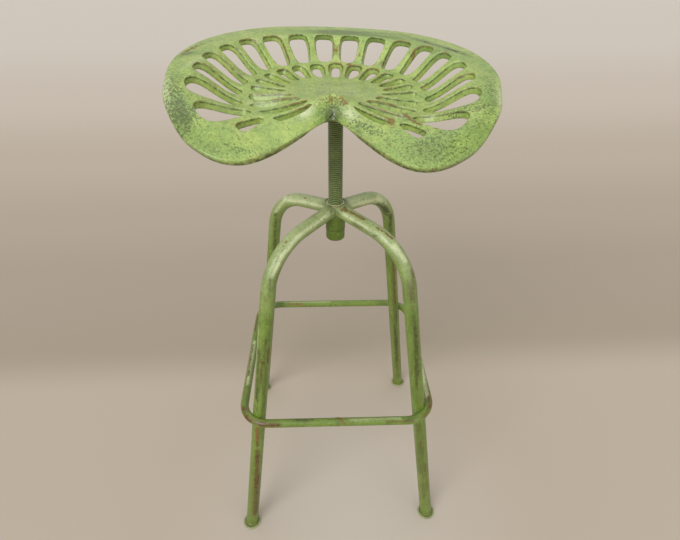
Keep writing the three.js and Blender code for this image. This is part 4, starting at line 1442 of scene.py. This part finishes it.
@dataclass
class LegFrame:
    """Four bent tubes welded to a hub tube, with a disc under each foot."""

    hub_radius: float = 15.5
    hub_bottom: float = 549.5
    hub_top: float = 593.0
    hub_round: float = 1.0
    bore_radius: float = 11.35
    tube_radius: float = 11.0
    bend_radius: float = 90.0
    bend_stations: int = 40
    arm_height: float = 584.7
    arm_droop_deg: float = 8.5
    splay_deg: float = 10.34
    foot_spread: float = 340.0
    station_gap: float = 5.0  # between rings of points down the straight of a leg
    weld_bead: float = 1.5
    weld_length: float = 7.0
    weld_ripple: float = 0.12
    weld_ripples: int = 9
    cope_depth: float = 0.4  # the tube's end lies this deep in the hub's wall
    cope_fade: float = 20.0  # along the arm the cut round the hub fades out over this length
    foot_bead: float = 2.0
    foot_bead_length: float = 4.0
    foot_radius: float = 16.0
    foot_thickness: float = 3.2
    foot_round: float = 1.3
    foot_bedding: float = 0.4  # the tube ends this deep in the disc
    painted_highlight_length: float = 215.0  # the arms carry a painted highlight as far as this from the hub
    painted_highlight_fade: float = 130.0
    arm_painted_highlight: float = 0.5
    weld_glaze: float = 0.5
    weld_wear: float = 0.25
    foot_wear: float = 0.25
    foot_paleness: float = 0.25
    foot_edge_painted_highlight: float = 0.4
    sides: int = 40
    ring_sides: int = 64  # of the hub and the discs
    names: tuple = ("rear_right", "rear_left", "front_left", "front_right")

    def foot_reach(self) -> float:
        """Distance of a foot from the spindle's axis."""
        return self.foot_spread / math.sqrt(2)

    def centre_line(self) -> tuple[np.ndarray, np.ndarray, np.ndarray]:
        """Centre line of a leg in the upright plane of its diagonal.

        Returns:
            Points of [outward, height], their directions, and distances from the hub along it.
        """
        droop, splay = math.radians(self.arm_droop_deg), math.radians(self.splay_deg)
        arm = np.array([math.cos(droop), -math.sin(droop)])
        down = np.array([math.sin(splay), -math.cos(splay)])
        bend = math.acos(float(arm @ down))
        reach = self.foot_reach() - self.arm_height * math.tan(splay)
        reach /= arm[0] + arm[1] * math.tan(splay)
        start = np.array([0.0, self.arm_height])
        bend_start = start + arm * (reach - self.bend_radius * math.tan(bend / 2))
        centre = bend_start + self.bend_radius * np.array([arm[1], -arm[0]])
        stations = [start + arm * s for s in self.arm_stations(float(np.linalg.norm(bend_start - start)))]
        directions = [arm] * len(stations)
        for turn in np.linspace(droop, droop + bend, self.bend_stations)[1:]:
            stations.append(centre + self.bend_radius * np.array([math.sin(turn), math.cos(turn)]))
            directions.append(np.array([math.cos(turn), -math.sin(turn)]))
        depth = (self.foot_thickness - self.foot_bedding) / math.cos(splay)
        foot = np.array([self.foot_reach(), 0.0]) - down * depth
        length = float(np.linalg.norm(foot - stations[-1]))
        gap, bead = self.station_gap, self.foot_bead_length + 2
        steps = [*np.arange(gap, length - bead, gap), *np.linspace(length - bead, length, 7)]
        stations += [foot - down * (length - s) for s in steps]
        directions += [down] * len(steps)
        points = np.array(stations)
        run = np.concatenate([[0], np.cumsum(np.linalg.norm(np.diff(points, axis=0), axis=1))])
        return points, np.array(directions), run

    def arm_stations(self, arm_length: float) -> np.ndarray:
        """Distances along the arm of its rings of points, closer together on the weld.

        Args:
            arm_length: Length of the arm.

        Returns:
            The distances.
        """
        weld = np.linspace(self.hub_radius, self.hub_radius + self.weld_length + 1, 10)
        straight = np.arange(weld[-1] + 4, arm_length + 1, 4)
        return np.concatenate([weld, straight[straight < arm_length]])

    def leg(self, name: str, turn: float, material: Material) -> None:
        """Builds one leg with its weld beads, coped to the hub.

        Args:
            name: Which corner the leg stands at.
            turn: Direction of its plane.
            material: The paint.
        """
        points, directions, from_hub = self.centre_line()
        from_foot = from_hub[-1] - from_hub
        angle = np.arange(self.sides) * FULL_TURN / self.sides
        inner = self.hub_radius - self.cope_depth
        rings = []
        for i, (point, along_tube) in enumerate(zip(points, directions)):
            bead = self.weld_bead * max(0.0, 1 - from_hub[i] / self.weld_length) ** 0.7
            bead += self.foot_bead * max(0.0, 1 - from_foot[i] / self.foot_bead_length) ** 0.7
            ripple = 1 + self.weld_ripple * np.sin(self.weld_ripples * angle + i)
            radius = self.tube_radius + bead * ripple
            lift, side = radius * np.cos(angle), radius * np.sin(angle)
            cope = self.hub_radius - np.sqrt(np.maximum(inner**2 - side**2, 0))
            cope = cope * max(0.0, 1 - from_hub[i] / self.cope_fade)
            outward = point[0] - along_tube[1] * lift - cope * along_tube[0]
            height = point[1] + along_tube[0] * lift - cope * along_tube[1]
            rings.append(np.stack([outward, side, height], 1))
        ends = [[inner, 0.0, points[0][1] - 2.0], [points[-1][0], 0.0, points[-1][1]]]
        placed = turned(np.vstack([*rings, ends]), turn)
        near_weld = near(from_hub, self.weld_length) + near(from_foot, self.foot_bead_length + 1)
        near_weld = np.append(np.repeat(near_weld, self.sides), [0.0, 0.0])
        # Painted highlight: the arms are paler near the hub, most on their upper side, fading out along the
        # bend
        arm = np.clip((self.painted_highlight_length - from_hub) / self.painted_highlight_fade, 0, 1)
        upper = np.tile(0.55 + 0.45 * np.cos(angle), len(points))
        pale = np.append(self.arm_painted_highlight * np.repeat(arm, self.sides) * upper, [0.0, 0.0])
        layers = {
            Layer.GLAZE: self.weld_glaze * near_weld,
            Layer.WEAR: self.weld_wear * near_weld,
            Layer.DRY_BRUSH_AND_PAINTED_HIGHLIGHT: pale,
        }
        faces = turned_over(ring_faces(len(points), self.sides))
        last, hub_end = (len(points) - 1) * self.sides, len(placed) - 2
        for j in range(self.sides):
            k = (j + 1) % self.sides
            faces += [[j, k, hub_end], [last + k, last + j, hub_end + 1]]
        role = Role(f"leg_tube_{name}", f"leg_{name}", Body.FRAME, Slot.STEEL)
        add_piece(role, placed, faces, material, stroked(layers, placed, LEG_STROKES), 60.0)

    def foot(self, name: str, turn: float, material: Material) -> None:
        """Builds one foot disc with its rounded, slightly raised edge.

        Args:
            name: Name of the piece.
            turn: Direction of its leg.
            material: The piece's finish.
        """
        r, high, soft = self.foot_radius, self.foot_thickness, self.foot_round
        x, y = self.foot_reach() * math.cos(turn), self.foot_reach() * math.sin(turn) - SPINDLE_SETBACK
        profile = [(0.01, 0.0), (r - soft, 0.0)]
        profile += round_corner((r - soft, soft), soft, -90, 0, 4)
        profile += round_corner((r - soft, high - soft), soft, 0, 110, 5)
        profile += [(r - 2.6, high - 0.5), (r - 4, high - 0.6), (0.01, high - 0.6)]
        points, faces = revolve(profile, self.ring_sides, (x, y))
        distance = np.hypot(points[:, 0] - x, points[:, 1] - y)
        groove, edge = near(distance - r + 3, 1.2), near(distance - r + 1, 1.2)
        # Painted shade darkens the disc's lower edge by the floor and a painted highlight pales its top edge;
        # the whole disc is dry-brushed a little paler and glazed a little in its groove
        layers = {
            Layer.GLAZE: 0.12 * groove + 0.6 * (points[:, 2] < 1),
            Layer.WEAR: np.full(len(points), self.foot_wear),
            Layer.DRY_BRUSH_AND_PAINTED_HIGHLIGHT: self.foot_paleness + self.foot_edge_painted_highlight * edge * (points[:, 2] > 2),
        }
        role = Role(f"foot_{name}", f"foot_disc_{name}", Body.FRAME, Slot.STEEL)
        add_piece(role, points, faces, material, layers)

    def hub(self, material: Material) -> None:
        """Builds the hub tube with its soft ends and open bore.

        Args:
            material: The piece's finish.
        """
        r, low, high = self.hub_radius, self.hub_bottom, self.hub_top
        bore, soft = self.bore_radius, self.hub_round
        lower, upper = soft_edges(r, low, high, soft, 3)
        wall = [(r, z) for z in np.arange(low + 4, high - 4, 3)]
        profile = [(bore, low + soft), (bore + 0.5, low), (r - soft, low), *lower, *wall, *upper]
        profile += [(bore + 0.5, high), (bore, high - 0.5), (bore, low + soft)]
        points, faces = revolve(profile, self.ring_sides, SPINDLE_AXIS)
        layers = {
            Layer.GLAZE: 0.5 * near(points[:, 2] - low, 3),
            Layer.WEAR: 0.6 * near(points[:, 2] - high, 3),
            Layer.DRY_BRUSH_AND_PAINTED_HIGHLIGHT: 0.7 * near(points[:, 2] - high, 1.5),
        }
        role = Role("hub_tube_painted", "hub_tube", Body.FRAME, Slot.STEEL)
        add_piece(role, points, faces, material, layers)

    def build(self, material: Material, hub_paint: Material) -> None:
        """Builds the hub, the legs and the feet.

        Args:
            material: Finish of the legs and feet.
            hub_paint: Finish of the hub.
        """
        self.hub(hub_paint)
        for i, name in enumerate(self.names):
            turn = FULL_TURN / 8 + i * FULL_TURN / 4
            self.leg(name, turn, material)
            self.foot(name, turn, material)


@dataclass
class Footrest:
    """One rod bent to a rounded square outside the legs, with its butt weld in front."""

    rod_radius: float = 7.0
    height: float = 270.0
    corner_radius: float = 44.5
    saddle: float = 3.5
    turn_deg: float = -1.6
    seam_swell: float = 0.7
    seam_length: float = 7.0
    seam_glaze: float = 0.4
    seam_wear: float = 0.3
    sides: int = 32
    bar_stations: int = 90
    corner_stations: int = 25

    def half_width(self, legs: LegFrame) -> float:
        """Half its width between centre lines, so that each leg beds into a corner.

        Args:
            legs: The legs it goes round.

        Returns:
            Half the width.
        """
        splay, turn = math.radians(legs.splay_deg), math.radians(self.turn_deg)
        leg_radial = legs.foot_reach() - self.height * math.tan(splay)
        apart = (legs.tube_radius + self.rod_radius - self.saddle) / math.cos(splay)
        sideways = leg_radial * math.sin(turn)
        corner = leg_radial * math.cos(turn) - math.sqrt((self.corner_radius - apart) ** 2 - sideways**2)
        return corner / math.sqrt(2) + self.corner_radius

    def path(self, half: float) -> tuple[np.ndarray, np.ndarray]:
        """The rod's centre line, clockwise from the middle of the front bar.

        Args:
            half: Half the square's width.

        Returns:
            Points and the outward direction at each, both in the square's own plane.
        """
        straight = half - self.corner_radius
        points, outward = [], []
        for side in range(4):
            base = -FULL_TURN / 4 - side * FULL_TURN / 4
            out = np.array([math.cos(base), math.sin(base)])
            bar = np.array([out[1], -out[0]])
            for s in np.linspace(-straight, straight, self.bar_stations)[:-1]:
                points.append(out * half + bar * s)
                outward.append(out)
            for turn in np.linspace(0, FULL_TURN / 4, self.corner_stations)[:-1]:
                direction = out * math.cos(turn) + bar * math.sin(turn)
                points.append((out + bar) * straight + direction * self.corner_radius)
                outward.append(direction)
        return np.array(points), np.array(outward)

    def build(self, legs: LegFrame, material: Material) -> None:
        """Builds the rod round the legs.

        Args:
            legs: The legs it goes round.
            material: The piece's finish.
        """
        centres, outward = self.path(self.half_width(legs))
        angle = np.arange(self.sides) * FULL_TURN / self.sides
        seam = near(centres[:, 0], self.seam_length / 2) * (centres[:, 1] < 0)
        rings = []
        for point, out, swell in zip(centres, outward, self.seam_swell * seam):
            radius = self.rod_radius + swell * (0.6 + 0.4 * np.sin(3 * angle + 1))
            flat = point + np.outer(radius * np.cos(angle), out)
            rings.append(np.column_stack([flat, radius * np.sin(angle) + self.height]))
        placed = turned(np.vstack(rings), math.radians(self.turn_deg))
        seam = np.repeat(seam, self.sides)
        layers = {Layer.GLAZE: self.seam_glaze * seam, Layer.WEAR: self.seam_wear * seam}
        layers = stroked(layers, placed, FOOTREST_STROKES)
        role = Role("footrest_rod", "footrest_ring", Body.FRAME, Slot.STEEL)
        faces = turned_over(ring_faces(len(centres), self.sides, closed=True))
        add_piece(role, placed, faces, material, layers)


# Flange and bolts under the seat


@dataclass
class SeatMounting:
    """The turned flange under the centre plate with four hexagon bolts and washers."""

    seat: SeatCasting
    gap: float = 0.3
    radius: float = 54.0
    thickness: float = 5.0
    edge_round: float = 1.2
    bore: float = 11.4
    boss_radius: float = 17.0
    boss_height: float = 10.0
    boss_chamfer: float = 3.0
    bolt_circle: float = 38.0
    bolt_radius: float = 4.0
    head_width: float = 13.0
    head_height: float = 5.3
    washer_radius: float = 8.0
    washer_thickness: float = 1.6
    washer_round: float = 0.35
    washer_clearance: float = 0.45
    flange_glaze: float = 0.25
    bolts: int = 4
    flange_sides: int = 96
    bolt_sides: int = 48

    def flange_bottom(self) -> float:
        """Height of the flange's underside in the seat's own frame."""
        return -self.seat.thickness - self.gap - self.thickness

    def bolt_place(self, number: int) -> tuple[float, float]:
        """Place of a bolt's axis in the seat's own frame."""
        angle = FULL_TURN / 8 + number * FULL_TURN / self.bolts
        return self.bolt_circle * math.cos(angle), self.bolt_circle * math.sin(angle)

    def flange(self, material: Material) -> None:
        """Builds the flange with its boss.

        Args:
            material: The piece's finish.
        """
        top, bottom = self.flange_bottom() + self.thickness, self.flange_bottom()
        boss, r, soft, chamfer = bottom - self.boss_height, self.radius, self.edge_round, self.boss_chamfer
        lower, upper = soft_edges(r, bottom, top, soft, 4)
        profile = [(self.bore, boss + 0.5), (self.bore + 0.6, boss), (self.boss_radius - chamfer, boss)]
        profile += round_corner((self.boss_radius - chamfer, boss + chamfer), chamfer, -90, 0, 6)
        profile += [(self.boss_radius, bottom - 2), (self.boss_radius + 0.6, bottom - 0.8)]
        profile += [(self.boss_radius + 2, bottom), (r - soft, bottom), *lower, *upper]
        profile += [(self.bore, top), (self.bore, boss + 0.5)]
        points, faces = revolve(profile, self.flange_sides)
        role = Role("seat_flange_painted", "seat_flange", Body.SEAT, Slot.STEEL)
        layers = {Layer.GLAZE: np.full(len(points), self.flange_glaze)}
        add_piece(role, self.seat.to_stool(points), faces, material, layers)

    def bolt(self, number: int, material: Material) -> None:
        """Builds one hexagon head with its washer-faced chamfer and shank.

        Args:
            number: Number of the bolt.
            material: The piece's finish.
        """
        head_top = self.flange_bottom() - self.washer_thickness - 2 * self.gap
        head_bottom = head_top - self.head_height
        half, sixth = self.head_width / 2, FULL_TURN / 6
        turns = np.arange(self.bolt_sides) * FULL_TURN / self.bolt_sides
        hexagon = half / np.cos(turns % sixth - sixth / 2)
        rounded = np.minimum(hexagon, half * 1.02)
        profile = [(rounded * 0.02, head_bottom), (rounded * 0.86, head_bottom), (rounded, head_bottom + 0.5)]
        profile += [(hexagon, head_bottom + 1.4), (hexagon, head_top), (self.bolt_radius, head_top)]
        profile += [(self.bolt_radius, -self.seat.thickness + 4)]
        points, faces = revolve(profile, self.bolt_sides, self.bolt_place(number))
        role = Role(f"seat_bolt_plated_{number + 1}", f"seat_bolt_{number + 1}", Body.SEAT, Slot.PLATED)
        add_piece(role, self.seat.to_stool(points), faces, material, sharp_deg=25.0)

    def washer(self, number: int, material: Material) -> None:
        """Builds the washer under one bolt's head.

        Args:
            number: Number of its bolt.
            material: The piece's finish.
        """
        top = self.flange_bottom() - self.gap
        bottom = top - self.washer_thickness
        r, bore, soft = self.washer_radius, self.bolt_radius + self.washer_clearance, self.washer_round
        profile = [(bore, bottom), (r - soft, bottom), (r, bottom + soft)]
        profile += [(r, top - soft), (r - soft, top), (bore, top), (bore, bottom)]
        points, faces = revolve(profile, self.bolt_sides, self.bolt_place(number))
        node = f"seat_bolt_washer_{number + 1}"
        role = Role(f"seat_washer_plated_{number + 1}", node, Body.SEAT, Slot.PLATED)
        add_piece(role, self.seat.to_stool(points), faces, material)

    def build(self, paint: Material, plate: Material) -> None:
        """Builds the flange, bolts and washers.

        Args:
            paint: Finish of the flange.
            plate: Finish of the bolts and washers.
        """
        self.flange(paint)
        for number in range(self.bolts):
            self.bolt(number, plate)
            self.washer(number, plate)


# Studio


@dataclass
class Studio:
    """Seamless warm grey paper under soft daylight lamps, and the camera."""

    camera_place: tuple = (-36.66, -682.17, 918.39)
    camera_yaw_deg: float = 3.60
    camera_pitch_deg: float = 34.01
    camera_roll_deg: float = 0.33
    focal_pixels: float = 473.63
    picture_width: int = 680
    sensor: float = 36.0
    centre_pixel: float = 338.5
    floor_half: float = 40.0
    far_paper: str = "d3c9bf"
    # The paper's colour from the stool to far behind, with painted shade: darkest where the sheet would fold
    # up
    paper_start: float = 0.68  # metres in front of the origin at which the tones start
    paper_tones_and_painted_shade: tuple = (
        (0.0, "c4b7a7"),
        (0.455, "bfb1a0"),
        (0.5, "a99c8b"),
        (0.575, "ac9f90"),
        (0.64, "b3a697"),
        (0.71, "bdb0a1"),
        (0.79, "c9beb1"),
        (0.87, "d2c9bf"),
        (1.0, "d5ccc3"),
    )
    pool_centre: tuple = (0.03, -0.16, 0.0)  # a painted pool of light: paler paper round the feet
    pool_radius: float = 0.42
    pool_strength: float = 0.17
    sky_colour: str = "fffdf8"
    sky_strength: float = 0.45
    # Name, strength, spread in degrees and direction: low in front on both sides, and overhead
    lamp_rows: tuple = (
        ("key_lamp", 1.7, 40.0, (-0.75, -1.0, 0.75)),
        ("fill_lamp", 0.42, 50.0, (0.7, -1.0, 0.5)),
        ("top_lamp", 0.6, 60.0, (-0.1, 0.2, 1.0)),
    )

    def camera(self) -> None:
        """Stands the camera where the photograph was taken from."""
        data = bpy.data.cameras.new("camera")
        data.sensor_width = self.sensor
        data.lens = self.focal_pixels / self.picture_width * self.sensor
        data.shift_x = (self.picture_width / 2 - self.centre_pixel) / self.picture_width
        data.clip_end = 200
        camera = bpy.data.objects.new("camera", data)
        bpy.context.scene.collection.objects.link(camera)
        degrees = (self.camera_yaw_deg, self.camera_pitch_deg, self.camera_roll_deg)
        yaw, pitch, roll = (math.radians(value) for value in degrees)
        level = Vector((math.sin(yaw), math.cos(yaw), 0)) * math.cos(pitch)
        forward = level - Vector((0, 0, math.sin(pitch)))
        right = Vector((math.cos(yaw), -math.sin(yaw), 0))
        up = right.cross(forward)
        tilted_right = math.cos(roll) * right + math.sin(roll) * up
        tilted_up = math.cos(roll) * up - math.sin(roll) * right
        turn = Matrix((tilted_right, tilted_up, -forward)).transposed().to_4x4()
        camera.matrix_world = Matrix.Translation(Vector(self.camera_place) * MM) @ turn
        bpy.context.scene.camera = camera

    def lamps(self) -> None:
        """Hangs three broad soft lamps."""
        for name, strength, spread, direction in self.lamp_rows:
            data = bpy.data.lights.new(name, "SUN")
            data.energy = strength
            data.angle = math.radians(spread)
            lamp = bpy.data.objects.new(name, data)
            lamp.rotation_mode = "QUATERNION"
            lamp.rotation_quaternion = Vector(direction).to_track_quat("Z", "Y")
            bpy.context.scene.collection.objects.link(lamp)

    def world(self) -> None:
        """Lights the room evenly; the camera sees it in the colour of the far paper."""
        world = bpy.data.worlds.new("studio")
        bpy.context.scene.world = world
        tree = empty_tree(world)
        seen = {"Color": linear(self.far_paper), "Strength": 1.0}
        light = {"Color": linear(self.sky_colour), "Strength": self.sky_strength}
        light, seen = (add_node(tree, "ShaderNodeBackground", sky).outputs[0] for sky in (light, seen))
        ray = add_node(tree, "ShaderNodeLightPath").outputs["Is Camera Ray"]
        mixed = add_node(tree, "ShaderNodeMixShader", {0: ray, 1: light, 2: seen})
        add_node(tree, "ShaderNodeOutputWorld", {"Surface": mixed.outputs[0]})

    def paper(self) -> Material:
        """The paper: a painted pool of light under the stool, painted shade where it would rise behind, paler
        far off.

        Returns:
            The material.
        """
        material = bpy.data.materials.new("seamless_paper")
        paint = PaintGraph(empty_tree(material))
        y = add_node(paint.tree, "ShaderNodeSeparateXYZ", {0: paint.coordinates}).outputs["Y"]
        behind = paint.math("MAXIMUM", paint.plus(y, self.paper_start), 0.0)
        share = paint.math("DIVIDE", behind, paint.plus(behind, 1.0))
        # The ramp lays the painted shade of a rising sheet behind the stool
        ramp = add_node(paint.tree, "ShaderNodeValToRGB", {0: share})
        ramp.color_ramp.interpolation = "EASE"
        while len(ramp.color_ramp.elements) < len(self.paper_tones_and_painted_shade):
            ramp.color_ramp.elements.new(0.5)
        for element, (position, colour) in zip(ramp.color_ramp.elements, self.paper_tones_and_painted_shade):
            element.position = position
            element.color = linear(colour)
        # Painted pool of light: paler paper round the feet
        ends = {0: paint.coordinates, 1: self.pool_centre}
        away = add_node(paint.tree, "ShaderNodeVectorMath", ends, operation="DISTANCE").outputs["Value"]
        painted_light_pool = paint.step(away, self.pool_radius, 0.0, self.pool_strength)
        colour = paint.mix(painted_light_pool, ramp.outputs[0], linear("ffffff"))
        shader = add_node(paint.tree, "ShaderNodeBsdfPrincipled", {"Base Color": colour, "Roughness": 0.9})
        add_node(paint.tree, "ShaderNodeOutputMaterial", {"Surface": shader.outputs[0]})
        return material

    def floor(self) -> None:
        """Lays the paper on the ground."""
        mesh = bpy.data.meshes.new("floor")
        h = self.floor_half
        mesh.from_pydata([(-h, -h, 0), (h, -h, 0), (h, h, 0), (-h, h, 0)], [], [(0, 1, 2, 3)])
        mesh.materials.append(self.paper())
        floor = bpy.data.objects.new("floor", mesh)
        bpy.context.scene.collection.objects.link(floor)

    def build(self) -> None:
        """Sets up the camera, the lamps, the world and the floor."""
        self.camera()
        self.lamps()
        self.world()
        self.floor()
        bpy.context.scene.view_settings.view_transform = "Standard"


def main() -> None:
    """Builds the studio and every piece of the stool."""
    logging.basicConfig(level=logging.INFO, format="%(message)s")
    Studio().build()
    finishes = (IRON_PAINT, TUBE_PAINT, HUB_PAINT, THREAD_PAINT, ZincPlate())
    iron_paint, tube_paint, hub_paint, thread_paint, zinc = (finish.build() for finish in finishes)
    seat = SeatCasting()
    seat.build(iron_paint)
    SeatMounting(seat).build(tube_paint, zinc)
    spindle = ScrewSpindle()
    spindle.thread(thread_paint)
    spindle.stop_nut(hub_paint)
    spindle.washer(hub_paint)
    legs = LegFrame()
    legs.build(tube_paint, hub_paint)
    Footrest().build(legs, tube_paint)


if __name__ == "__main__":
    main()
